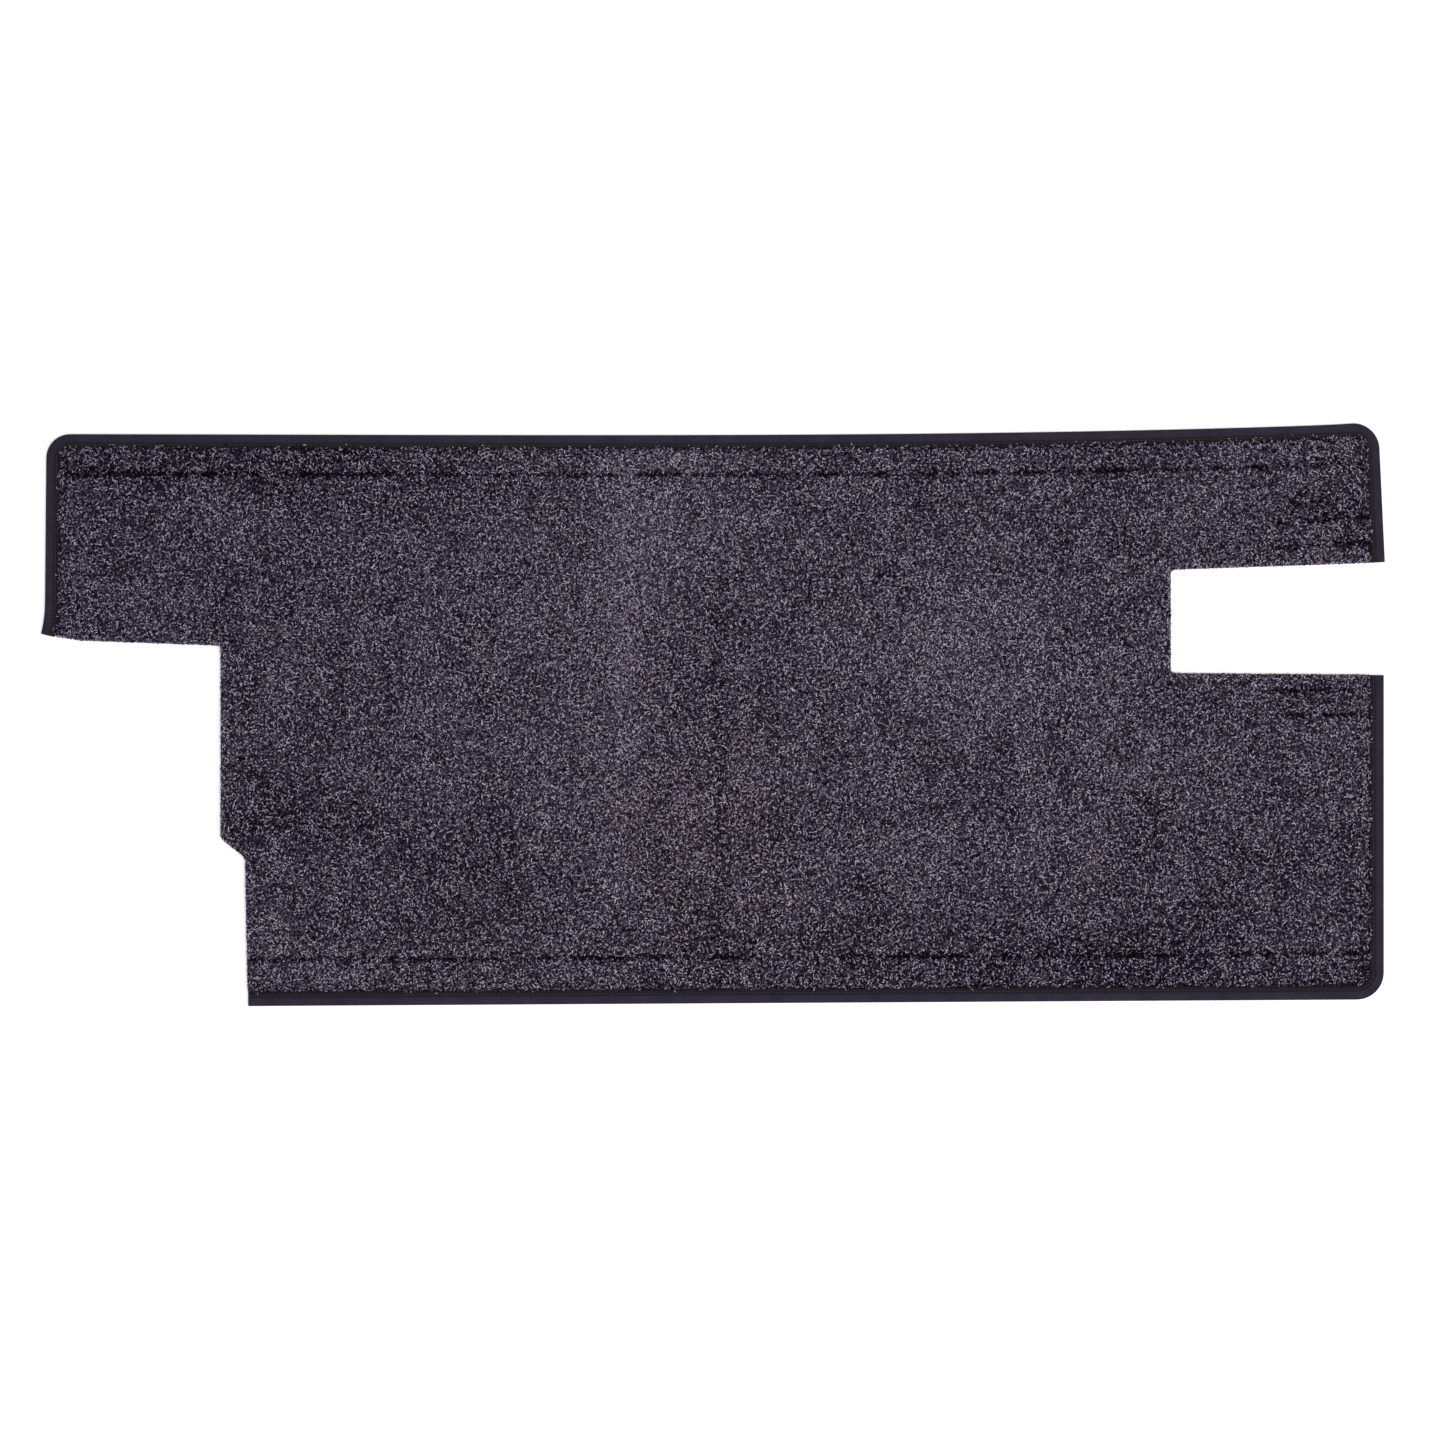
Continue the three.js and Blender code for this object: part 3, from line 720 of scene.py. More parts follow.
def woven_tape(tape):
    """Woven polyester binding, pressed flat: a soft satin face with a fine twill.

    The real yarns lie 0.5 mm apart, too fine to show, so the ribs are drawn 1.6 mm apart.
    The Weave map runs along the tape in u and round its section in v, both in metres.
    """
    material, tree, shader = new_material(
        "woven polyester binding", {"Roughness": 0.82, "Specular IOR Level": 0.2}
    )
    weave = add(tree, "ShaderNodeUVMap", {"uv_map": "Weave"}).outputs[0]
    ribs = add(
        tree,
        "ShaderNodeTexWave",
        {"wave_type": "BANDS", "bands_direction": "DIAGONAL"},
        {"Vector": weave, "Scale": 1 / (3.6 * MM), "Distortion": 2.2, "Detail": 2},
    )
    fuzz = add(
        tree,
        "ShaderNodeTexNoise",
        inputs={"Vector": weave, "Scale": 1 / (1.3 * MM), "Detail": 3, "Roughness": 0.7},
    )
    cloudy = add(
        tree, "ShaderNodeTexNoise", inputs={"Vector": weave, "Scale": 1 / (16 * MM), "Detail": 2}
    )
    face = add(
        tree,
        "ShaderNodeMath",
        {"operation": "MULTIPLY_ADD"},
        {0: ribs.outputs["Fac"], 1: 0.2, 2: fuzz.outputs["Fac"]},
    )
    soft = add(
        tree,
        "ShaderNodeMath",
        {"operation": "MULTIPLY_ADD"},
        {0: cloudy.outputs["Fac"], 1: 0.45, 2: face.outputs[0]},
    )
    # The weave's low bits get painted shade and its raised bits a painted highlight; the cloudy patches
    # vary its tone
    shades = ramp(tree, soft.outputs[0], [(0.58, tape.shade), (0.82, tape.face), (1.0, tape.ridge_highlight)])
    inset = add(tree, "ShaderNodeAttribute", {"attribute_name": "inset"}).outputs["Fac"]
    # Painted shade: the tape darkens from just outside its seam to its inner edges, beside the pile,
    # and is painted lightest a little inside its nose
    painted_seam_shade = ramp(
        tree,
        add(tree, "ShaderNodeMath", {"operation": "DIVIDE"}, {0: inset, 1: tape.top_lap}).outputs[0],
        [
            (0.0, (0.92,) * 3),
            (0.2, (1.0,) * 3),
            (0.5, (0.95,) * 3),
            (0.66, (0.34,) * 3),
            (0.85, (0.28,) * 3),
            (1.0, (0.26,) * 3),
        ],
    )
    final = add(
        tree,
        "ShaderNodeMix",
        {"data_type": "RGBA", "blend_type": "MULTIPLY"},
        {"Factor": 1.0, 6: shades, 7: painted_seam_shade},
    )
    tree.links.new(final.outputs[2], shader.inputs["Base Color"])
    bump = add(
        tree,
        "ShaderNodeBump",
        inputs={"Height": face.outputs[0], "Distance": 0.25 * MM, "Strength": 0.5},
    )
    tree.links.new(bump.outputs[0], shader.inputs["Normal"])
    return material


def hook_ground(strips):
    """Woven nylon ground of hook tape: black, tight ribs 1.2 mm apart, a faint gloss."""
    material, tree, shader = new_material(
        "woven nylon ground", {"Roughness": 0.6, "Specular IOR Level": 0.45}
    )
    where = add(tree, "ShaderNodeTexCoord").outputs["Object"]
    ribs = add(
        tree,
        "ShaderNodeTexWave",
        {"wave_type": "BANDS", "bands_direction": "X"},
        {"Vector": where, "Scale": 1 / (3.8 * MM), "Distortion": 1.0, "Detail": 1},
    )
    dark = tuple(0.55 * c for c in strips.ground_colour)
    light = tuple(1.6 * c for c in strips.ground_colour)
    shades = ramp(tree, ribs.outputs["Fac"], [(0.1, dark), (0.6, strips.ground_colour), (1.0, light)])
    tree.links.new(shades, shader.inputs["Base Color"])
    bump = add(
        tree,
        "ShaderNodeBump",
        inputs={"Height": ribs.outputs["Fac"], "Distance": 0.2 * MM, "Strength": 0.6},
    )
    tree.links.new(bump.outputs[0], shader.inputs["Normal"])
    return material


def nylon_strand(name, shade, roughness):
    """Drawn nylon monofilament or bonded thread: smooth, with a small highlight.

    Its Strand map paints shade at both ends, where it dives into the cloth, and a painted highlight
    along its middle.
    """
    material, tree, shader = new_material(
        name, {"Roughness": roughness, "Specular IOR Level": 0.45, "IOR": 1.53}
    )
    strand = add(tree, "ShaderNodeUVMap", {"uv_map": "Strand"})
    parts = add(tree, "ShaderNodeSeparateXYZ", inputs={0: strand.outputs[0]})
    dark = tuple(0.5 * c for c in shade)
    light = tuple(1.35 * c for c in shade)
    shades = ramp(tree, parts.outputs["X"], [(0.0, dark), (0.35, shade), (0.5, light), (1.0, dark)])
    tree.links.new(shades, shader.inputs["Base Color"])
    return material


# Carpet

# Soft patches of painted light (+) and painted shade (-), where the pile's lay turns to or from the
# light: centre, reach, strength
PILE_LAY = (
    (-60, 190, 110, 60, 0.4),
    (-75, 0, 16, 190, 0.4),
    (-150, 60, 190, 60, 0.1),
    (210, 45, 60, 50, 0.4),
    (300, -200, 270, 45, -0.4),
    (5, -60, 7, 190, -0.35),
    (-350, -80, 80, 30, -0.4),
    (-200, -150, 120, 70, -0.15),
    (-330, 205, 180, 30, -0.35),
)
# Soft patches where the melange is warmer (+) or cooler (-): centre, reach, strength
WARMTH = ((0, -110, 90, 130, 0.34), (-180, -180, 60, 50, 0.12), (-450, 150, 170, 110, -0.3))
# Places where the pile is trodden flat beside a seam, lowered and given painted shade: centre, reach,
# strength
TRODDEN = (
    (515, 176, 40, 7, 0.4),
    (478, 170, 30, 4, 0.25),
    (500, 10, 40, 4, 0.3),
    (-490, 201, 26, 3.5, 0.6),
    (-465, 199, 12, 4, 0.4),
)
# Loose fluff on the back tape near its right corner: centre, reach, strength
FLUFF = ((484, 232, 30, 14, 1),)
FLUFF_REACH = 2.8 * MM
# How steep a valley's sides are next to its half width
VALLEY_SHARPNESS = 0.62
# How deep the pile is trodden at most
TRODDEN_DEPTH = 1.2 * MM
# How far up from the underside the locks of a raw cut start
WALL_LOCKS_FROM = 1.4 * MM


def soft_patches(spots, patches):
    """The sum of soft round patches at each spot."""
    total = np.zeros(len(spots))
    for x, y, reach_x, reach_y, strength in patches:
        away = ((spots[:, 0] / MM - x) / reach_x) ** 2 + ((spots[:, 1] / MM - y) / reach_y) ** 2
        total += strength * np.exp(-away)
    return total


def row_valleys(spots, rows, pile):
    """How far the rows of stitches draw each spot in: uneven and broken along each row."""
    sunk = np.zeros(len(spots))
    for number, row in enumerate(rows):
        away = distance_to(row, spots) + 0.5 * MM * soft_noise(spots, 7 * MM, 31 + number)
        valley = np.exp(-((np.maximum(away, 0) / (pile.valley_width / 2 * VALLEY_SHARPNESS)) ** 2))
        uneven = 0.42 + 0.5 * soft_noise(spots, 10 * MM, 41 + number)
        sunk = np.maximum(sunk, valley * np.clip(uneven, 0.05, 0.8))
    return sunk


def carpet_shape(spots, at, pile, tape, rows):
    """The pile's height, sunkenness, lay and warmth at each spot, and its room to the edges."""
    top = pile.backing_height + pile.thickness
    sewn = pile.backing_height + pile.sewn_thickness
    to_tape = np.minimum(
        distance_to(front_tape_edge(at), spots), distance_to(back_tape_edge(at), spots)
    )
    to_cut = np.minimum(distance_to(notch_cut(at), spots), distance_to(left_cut(at), spots))
    clear = tape.top_lap + tape.gap
    share = np.clip((to_tape - clear) / pile.rise_length, 0, 1)
    rise = pile.rise_start + (top - sewn - pile.rise_start) * np.sin(share * np.pi / 2)
    height = np.where(to_tape < clear - 0.05 * MM, sewn, sewn + rise)
    near_cut = np.clip(1 - to_cut / pile.cut_rounding, 0, 1)
    rounding = pile.cut_rounding * 0.8 * (1 - np.sqrt(1 - near_cut**2))
    sunk = row_valleys(spots, rows, pile)
    flat = np.clip(soft_patches(spots, TRODDEN), 0, 1)
    flat *= 0.75 + 0.25 * soft_noise(spots, 6 * MM, 61)
    open_pile = share * (1 - near_cut)
    tufts = soft_noise(spots, 3.4 * MM, 71) * 0.6 + soft_noise(spots, 8 * MM, 72) * 0.4
    height = height - rounding - (sunk * pile.valley_depth + flat * TRODDEN_DEPTH) * open_pile
    height += tufts * pile.tuft_relief * open_pile
    # Painted shade: the sunk mark darkens the pile in the stitch valleys, in the trodden patches and
    # beside the tape's lip
    tape_lip_shade = np.exp(-np.abs(to_tape - clear + 1.0 * MM) / (2.0 * MM))
    sunk = np.clip(sunk + flat * 0.5 + tape_lip_shade * 0.2, 0, 1)
    # The lay mark paints light and shade in soft patches and over wider mottling, and makes the pile
    # paler along the raw cuts
    lay = soft_patches(spots, PILE_LAY) + 0.2 * soft_noise(spots, 24 * MM, 81)
    lay += 0.12 * soft_noise(spots, 60 * MM, 82) + 0.7 * np.exp(-to_cut / (2.2 * MM))
    warm = np.clip(0.5 + soft_patches(spots, WARMTH) + 0.22 * soft_noise(spots, 14 * MM, 83), 0, 1)
    return height, sunk, lay, warm, to_tape, to_cut


def overhang(spots):
    """How far the pile hangs over the tape beside each spot: most along the slack back edge."""
    back = np.clip((spots[:, 1] - 150 * MM) / (60 * MM), 0, 1)
    front = np.clip((-150 * MM - spots[:, 1]) / (60 * MM), 0, 1)
    ragged = 0.7 * soft_noise(spots, 5 * MM, 91)
    return (1.6 + 0.4 * back - 1.5 * front + ragged) * MM + FLUFF_REACH * soft_patches(spots, FLUFF)


def carpet_outline(at, tape):
    """The carpet's outline: inside the tapes where they hold it, and its raw cuts elsewhere."""
    hold = tape.thickness + tape.gap
    return np.vstack(
        [
            inside(front_tape_edge(at), hold),
            notch_cut(at)[1:-1],
            inside(back_tape_edge(at), hold),
            left_cut(at)[1:-1],
        ]
    )


def triangles(spots, rim_count):
    """Triangles that fill the rim, which is the first spots in order, with all the spots."""
    flat = [Vector(s) for s in spots]
    rim = list(range(rim_count))
    found, _, faces, origins, _, _ = delaunay_2d_cdt(flat, [], [rim], 1, 1e-7)
    rim_places = {}
    for index, sources in enumerate(origins):
        for source in sources:
            if source < rim_count:
                rim_places[source] = index
    return np.array([tuple(v) for v in found]), faces, [rim_places[i] for i in rim]


def carpet_spots(rim, at, pile, tape, rows):
    """Spots of the carpet's mesh: a loose grid, with closer lines where its height changes."""
    step = pile.mesh_step
    low, high = rim.min(axis=0), rim.max(axis=0)
    columns, lines = (np.ceil((high - low) / step)).astype(int)
    grid = np.stack(np.meshgrid(np.arange(columns), np.arange(lines)), -1).reshape(-1, 2)
    shaken = np.random.default_rng(5).uniform(-0.36, 0.36, grid.shape)
    spots = low + (grid + 0.5 + shaken) * step
    spots = spots[within(rim, spots)]
    clear = tape.top_lap + tape.gap
    guides = []
    for edge in (front_tape_edge(at), back_tape_edge(at)):
        guides += [inside(edge, clear + extra * MM) for extra in (-5.4, -3.6, -2.0, 0.0, 1.3, 3.2)]
    for cut in (notch_cut(at), left_cut(at)):
        guides += [inside(cut, extra * MM) for extra in (0.55, 1.6)]
    for row in rows:
        guides += [inside(row, extra * MM) for extra in (-1.2, 0, 1.2)]
    room = np.full(len(spots), np.inf)
    for guide in [rim] + guides:
        room = np.minimum(room, distance_to(guide, spots))
    spots = spots[room > 0.8 * MM]
    extra = np.vstack([spaced(guide, 2.4 * MM) for guide in guides])
    extra = extra[within(rim, extra) & (distance_to(np.vstack([rim, rim[:1]]), extra) > 0.35 * MM)]
    return np.vstack([spots, extra])


def build_carpet(at, pile, tape, rows):
    """The closed carpet mesh: relief on top, walls at its edge and a flat underside."""
    outline = carpet_outline(at, tape)
    rim = spaced(np.vstack([outline, outline[:1]]), 2.4 * MM)[:-1]
    spots = carpet_spots(rim, at, pile, tape, rows)
    top, top_faces, top_rim = triangles(np.vstack([rim, spots]), len(rim))
    low, high = rim.min(axis=0), rim.max(axis=0)
    wide = np.stack(
        np.meshgrid(np.arange(low[0], high[0], 22 * MM), np.arange(low[1], high[1], 22 * MM)), -1
    ).reshape(-1, 2)
    wide = wide[within(rim, wide) & (distance_to(np.vstack([rim, rim[:1]]), wide) > 4 * MM)]
    under, under_faces, under_rim = triangles(np.vstack([rim, wide]), len(rim))

    height, sunk, lay, warm, to_tape, to_cut = carpet_shape(top, at, pile, tape, rows)
    base = len(top)
    verts = np.vstack(
        [
            np.column_stack((top, height)),
            np.column_stack((under, np.full(len(under), pile.backing_height))),
        ]
    )
    faces = [tuple(f) for f in top_faces]
    faces += [tuple(base + i for i in reversed(f)) for f in under_faces]
    count = len(rim)
    for i in range(count):
        j = (i + 1) % count
        faces.append((base + under_rim[i], base + under_rim[j], top_rim[j], top_rim[i]))
    mesh = mesh_of("carpet_pile", verts, faces)
    # The sunk mark carries painted shade; its value on the underside's points shades the raw cuts'
    # walls towards their foot
    note(mesh, "sunk", np.concatenate([sunk, np.full(len(under), 0.6)]))
    note(mesh, "lay", np.concatenate([lay, np.zeros(len(under))]))
    note(mesh, "warm", np.concatenate([warm, np.full(len(under), 0.5)]))

    kinds = np.repeat([0, 1, 0], [len(top_faces), len(under_faces), count])
    mesh.polygons.foreach_set("material_index", kinds.astype("i"))
    unwrap_carpet(mesh, low, high, len(top_faces), len(under_faces), count)
    bare = tape.top_lap + tape.gap - overhang(top) - to_tape
    lifted = verts.copy()
    on_tape = pile.backing_height + pile.sewn_thickness + tape.thickness + 0.45 * MM
    beside = np.flatnonzero(to_tape < tape.top_lap + tape.gap)
    lifted[beside, 2] = on_tape
    lifted[base:, 2] += WALL_LOCKS_FROM
    thick = np.clip(-bare / (0.9 * MM), 0, 1)
    thick[beside] *= 1 - 0.6 * soft_patches(top[beside], FLUFF)
    thick = np.concatenate([thick, np.ones(len(under))])
    grows = bare < 0
    raw = to_cut < 0.2 * MM
    return mesh, lifted, thick, faces, grows, raw, len(top_faces), len(under_faces)


def unwrap_carpet(mesh, low, high, top_count, under_count, wall_count):
    """Lays the pile side, the underside and the walls side by side in the bake's map."""
    points = np.empty(len(mesh.vertices) * 3)
    mesh.vertices.foreach_get("co", points)
    points = points.reshape(-1, 3)
    corners = np.empty(len(mesh.loops), "i")
    mesh.loops.foreach_get("vertex_index", corners)
    places_in = (points[corners, :2] - low) / (high - low).max()
    under_start, wall_start = 3 * top_count, 3 * (top_count + under_count)
    spread = np.column_stack((0.01 + places_in[:, 0] * 0.98, 0.01 + places_in[:, 1] * 0.98))
    spread[under_start:wall_start, 1] += 0.5
    share = np.arange(wall_count) / wall_count
    step = 1 / wall_count
    wall = np.stack([share, share + step, share + step, share], axis=1).ravel()
    spread[wall_start:, 0] = wall
    spread[wall_start:, 1] = np.tile([0.97, 0.97, 0.995, 0.995], wall_count)
    mesh.uv_layers.new(name="OFBake").data.foreach_set("uv", spread.ravel().astype("f"))


class TAILGATEMAT_OT_carpet(bpy.types.Operator):
    """Makes the carpet with its pressed edges, valleys and raw cuts, and grows its yarn locks."""

    bl_idname = "tailgate_mat.carpet"
    bl_label = "Carpet and Pile"

    def execute(self, context):
        scene = context.scene
        at = places(scene.mat_outline)
        pile, tape, strips = scene.mat_pile, scene.mat_tape, scene.mat_strips
        rows = shown_rows(at, strips, tape)
        mesh, verts, thick, faces, grows, raw, top_count, under_count = build_carpet(
            at, pile, tape, rows
        )
        mesh.materials.append(pile_ground(pile))
        mesh.materials.append(coated_backing(pile))
        finished(link("carpet_pile", mesh), "pile", "carpet")
        grow_pile(pile, mesh, verts, thick, faces, grows, raw, top_count, under_count)
        return {"FINISHED"}


# Yarn locks

# Each lock's middle line in mm: it leaves the pile, curls over its surface and dives back
LOCK_SHAPES = (
    ((-2.3, -0.2, -0.9), (-0.95, 0.6, 0.4), (0.8, 0.75, 0.45), (2.2, -0.2, -0.9)),
    ((-2.4, -0.6, -0.8), (-0.9, 0.5, 0.35), (0.85, -0.5, 0.45), (2.4, 0.6, -0.8)),
    ((-1.1, -1.1, -0.8), (-1.05, 0.7, 0.35), (0.75, 0.9, 0.5), (1.4, -0.8, -0.35)),
    ((-1.5, 0.1, -1.4), (-0.5, 0.35, 0.1), (0.5, 0.2, 0.75), (1.3, -0.5, 0.9)),
    ((-1.6, 0.5, -1.1), (-0.7, -0.45, 0.2), (0.5, -0.35, 0.7), (1.5, 0.6, 0.1)),
)
LOCK_RADIUS = 0.5
PILE_BANDS = 8


def lock_tones(tree, sunk):
    """Each lock's shade, with painted shade where the pile is sunk and painted light and shade from its
    lay, and its tint.
    """
    chance = add(tree, "FunctionNodeRandomValue", {"data_type": "FLOAT"}, {2: 0.0, 3: 1.0, "Seed": 11})
    lay = add(
        tree, "GeometryNodeInputNamedAttribute", {"data_type": "FLOAT"}, {"Name": "lay"}
    ).outputs[0]
    # Painted shade on the locks where the pile is sunk
    sunk_shaded = add(
        tree, "ShaderNodeMath", {"operation": "MULTIPLY_ADD"}, {0: sunk, 1: -0.55, 2: chance.outputs[1]}
    )
    # Painted light and shade on the locks from the pile's lay
    laid = add(
        tree,
        "ShaderNodeMath",
        {"operation": "MULTIPLY_ADD", "use_clamp": True},
        {0: lay, 1: 0.16, 2: sunk_shaded.outputs[0]},
    )
    warm = add(
        tree, "GeometryNodeInputNamedAttribute", {"data_type": "FLOAT"}, {"Name": "warm"}
    ).outputs[0]
    dyed = add(tree, "FunctionNodeRandomValue", {"data_type": "FLOAT"}, {2: -0.3, 3: 0.3, "Seed": 15})
    tint = add(
        tree, "ShaderNodeMath", {"operation": "ADD", "use_clamp": True}, {0: warm, 1: dyed.outputs[1]}
    )
    return laid.outputs[0], tint.outputs[0]


def lock_patch(tree):
    """The lock's own unwrapped place, shrunk to a small patch at its tint and shade."""
    own = add(
        tree, "GeometryNodeInputNamedAttribute", {"data_type": "FLOAT_VECTOR"}, {"Name": "Strand"}
    )
    parts = add(tree, "ShaderNodeSeparateXYZ", inputs={0: own.outputs[0]})
    marks = []
    for name, part in (("tint", "X"), ("shade", "Y")):
        kept = add(tree, "GeometryNodeInputNamedAttribute", {"data_type": "FLOAT"}, {"Name": name})
        low = add(
            tree,
            "ShaderNodeMath",
            {"operation": "MULTIPLY_ADD"},
            {0: kept.outputs[0], 1: 0.96, 2: 0.01},
        )
        marks.append(
            add(
                tree,
                "ShaderNodeMath",
                {"operation": "MULTIPLY_ADD"},
                {0: parts.outputs[part], 1: 0.02, 2: low.outputs[0]},
            ).outputs[0]
        )
    patch = add(tree, "ShaderNodeCombineXYZ", inputs={0: marks[0], 1: marks[1]})
    return patch.outputs[0]


def lock_tree():
    """Scatters yarn locks over the pile: their places, turns, sizes and shades."""
    inputs = [
        ("Locks per square metre", "Float", 268000.0),
        ("Seed", "Int", 1),
        ("Lock size", "Float", 1.0),
        ("Yarn", "Material", None),
    ] + [(f"Lock {i + 1}", "Object", None) for i in range(len(LOCK_SHAPES))]
    tree, given = new_tree("scattered yarn locks", inputs)
    thick = add(tree, "GeometryNodeInputNamedAttribute", {"data_type": "FLOAT"}, {"Name": "thick"})
    crowd = add(
        tree,
        "ShaderNodeMath",
        {"operation": "MULTIPLY"},
        {0: given["Locks per square metre"], 1: thick.outputs[0]},
    )
    scattered = add(
        tree,
        "GeometryNodeDistributePointsOnFaces",
        {"distribute_method": "RANDOM"},
        {"Mesh": given["Geometry"], "Density": crowd.outputs[0], "Seed": given["Seed"]},
    )
    sunk = add(
        tree, "GeometryNodeInputNamedAttribute", {"data_type": "FLOAT"}, {"Name": "sunk"}
    ).outputs[0]
    shade, tint = lock_tones(tree, sunk)
    toned = add(
        tree,
        "GeometryNodeStoreNamedAttribute",
        {"data_type": "FLOAT", "domain": "POINT"},
        {"Geometry": scattered.outputs["Points"], "Name": "shade", "Value": shade},
    )
    tinted = add(
        tree,
        "GeometryNodeStoreNamedAttribute",
        {"data_type": "FLOAT", "domain": "POINT"},
        {"Geometry": toned.outputs[0], "Name": "tint", "Value": tint},
    )
    shapes = add(
        tree,
        "GeometryNodeJoinGeometry",
        inputs={
            0: [
                add(
                    tree,
                    "GeometryNodeObjectInfo",
                    inputs={"Object": given[f"Lock {i + 1}"], "As Instance": True},
                ).outputs["Geometry"]
                for i in reversed(range(len(LOCK_SHAPES)))
            ]
        },
    )
    pick = add(
        tree,
        "FunctionNodeRandomValue",
        {"data_type": "INT"},
        {4: 0, 5: len(LOCK_SHAPES) - 1, "Seed": 12},
    )
    turn = add(
        tree,
        "FunctionNodeRandomValue",
        {"data_type": "FLOAT_VECTOR"},
        {0: (-0.32, -0.32, 0.0), 1: (0.32, 0.32, 2 * math.pi), "Seed": 13},
    )
    spun = add(
        tree,
        "FunctionNodeRotateRotation",
        {"rotation_space": "LOCAL"},
        {
            0: scattered.outputs["Rotation"],
            1: add(tree, "FunctionNodeEulerToRotation", inputs={0: turn.outputs[0]}).outputs[0],
        },
    )
    grade = add(tree, "FunctionNodeRandomValue", {"data_type": "FLOAT"}, {2: 0.72, 3: 1.25, "Seed": 14})
    pressed = add(
        tree, "ShaderNodeMath", {"operation": "MULTIPLY_ADD"}, {0: sunk, 1: -0.3, 2: grade.outputs[1]}
    )
    sized = add(
        tree,
        "ShaderNodeMath",
        {"operation": "MULTIPLY"},
        {0: pressed.outputs[0], 1: given["Lock size"]},
    )
    placed = add(
        tree,
        "GeometryNodeInstanceOnPoints",
        inputs={
            "Points": tinted.outputs[0],
            "Instance": shapes.outputs[0],
            "Pick Instance": True,
            "Instance Index": pick.outputs[2],
            "Rotation": spun.outputs[0],
            "Scale": sized.outputs[0],
        },
    )
    real = add(tree, "GeometryNodeRealizeInstances", inputs={0: placed.outputs[0]})
    patch = lock_patch(tree)
    geometry = real.outputs[0]
    for name in ("OFBake", "Strand"):
        geometry = add(
            tree,
            "GeometryNodeStoreNamedAttribute",
            {"data_type": "FLOAT2", "domain": "CORNER"},
            {"Geometry": geometry, "Name": name, "Value": patch},
        ).outputs[0]
    close_tree(tree, geometry, given["Yarn"])
    return tree


def grow_pile(pile, mesh, verts, thick, faces, grows, raw, top_count, under_count):
    """Grows the yarn locks on the pile side and on the raw cuts, in bands along the mat."""
    top_total = len(grows)
    wanted = [f for f in faces[:top_count] if grows[list(f)].any()]
    for face in faces[top_count + under_count :]:
        rim = [i for i in face if i < top_total]
        if raw[rim].all() and grows[rim].all():
            wanted.append(face)
    middle = np.array([verts[list(f)[:3], 0].mean() for f in wanted])
    size = np.array(
        [
            np.linalg.norm(np.cross(verts[f[1]] - verts[f[0]], verts[f[-1]] - verts[f[0]]))
            for f in wanted
        ]
    )
    order = np.argsort(middle, kind="stable")
    share = np.cumsum(size[order]) / size.sum()
    band = np.empty(len(wanted), int)
    band[order] = np.minimum((share * PILE_BANDS).astype(int), PILE_BANDS - 1)
    kept = {"thick": thick}
    for name in ("sunk", "lay", "warm"):
        kept[name] = np.empty(len(verts), "f")
        mesh.attributes[name].data.foreach_get("value", kept[name])
    tree = lock_tree()
    yarn = melange_yarn(pile)
    shapes = [
        template(f"lock_shape_{i + 1}", [np.array(p) * MM for p in points], [LOCK_RADIUS * MM] * 4)
        for i, points in enumerate(LOCK_SHAPES)
    ]
    for number in range(PILE_BANDS):
        chosen = [wanted[i] for i in np.flatnonzero(band == number)]
        used = sorted({i for f in chosen for i in f})
        index = {old: new for new, old in enumerate(used)}
        ground = mesh_of(
            "pile_ground", verts[used], [tuple(index[i] for i in f) for f in chosen], smooth=False
        )
        for name, values in kept.items():
            note(ground, name, values[used])
        values = {
            "Locks per square metre": pile.locks_per_square_metre,
            "Seed": number + 1,
            "Lock size": pile.lock_size,
            "Yarn": yarn,
        }
        values |= {f"Lock {i + 1}": shape for i, shape in enumerate(shapes)}
        piece = grown(f"pile_locks_{number + 1}", link("pile_ground", ground), tree, values)
        finished(piece, "pile")
    drop(*shapes)


# Edge tapes

# How far a stitch's dimple reaches from the seam, and the size of the tape's cross wrinkles
DIMPLE_REACH = 1.5 * MM
WRINKLE_SIZE = 6.5 * MM


def tape_section(pile, tape):
    """The tape's closed section as (inset, height), from inside its channel and round."""
    low = pile.backing_height
    high = low + pile.sewn_thickness
    middle, half = (low + high) / 2, (high - low) / 2 + tape.thickness
    over, under = high + tape.thickness, low - tape.thickness
    angle = np.linspace(0.5, -0.5, 13) * np.pi
    nose = np.column_stack((tape.nose * (1 - np.cos(angle)), middle + half * np.sin(angle)))
    seam, width = tape.seam_inset, tape.seam_half_width
    lip = 0.35 * MM
    crown = np.linspace(tape.nose, seam - width, 6)[1:-1]
    bulge = np.sin((crown - tape.nose) / (seam - width - tape.nose) * np.pi)
    groove = seam + width * np.array([0.6, 0.25, 0, -0.25, -0.6])
    dip = tape.seam_depth * np.array([0.35, 0.85, 1, 0.85, 0.35])
    top = [(tape.thickness, high), (tape.top_lap, high), (tape.top_lap, over - lip)]
    top += [(tape.top_lap - 0.3 * lip, over - 0.3 * lip), (tape.top_lap - lip, over)]
    top += [(seam + width, over + 0.1 * MM)]
    top += list(zip(groove, over - dip, strict=True))
    top += [(seam - width, over + 0.05 * MM)]
    top += list(zip(crown[::-1], over + tape.crown * bulge[::-1], strict=True))
    flat = [(seam, under + 0.15 * MM), (tape.under_lap, under), (tape.under_lap, low)]
    return np.array(top + list(nose) + flat + [(tape.thickness, low)])


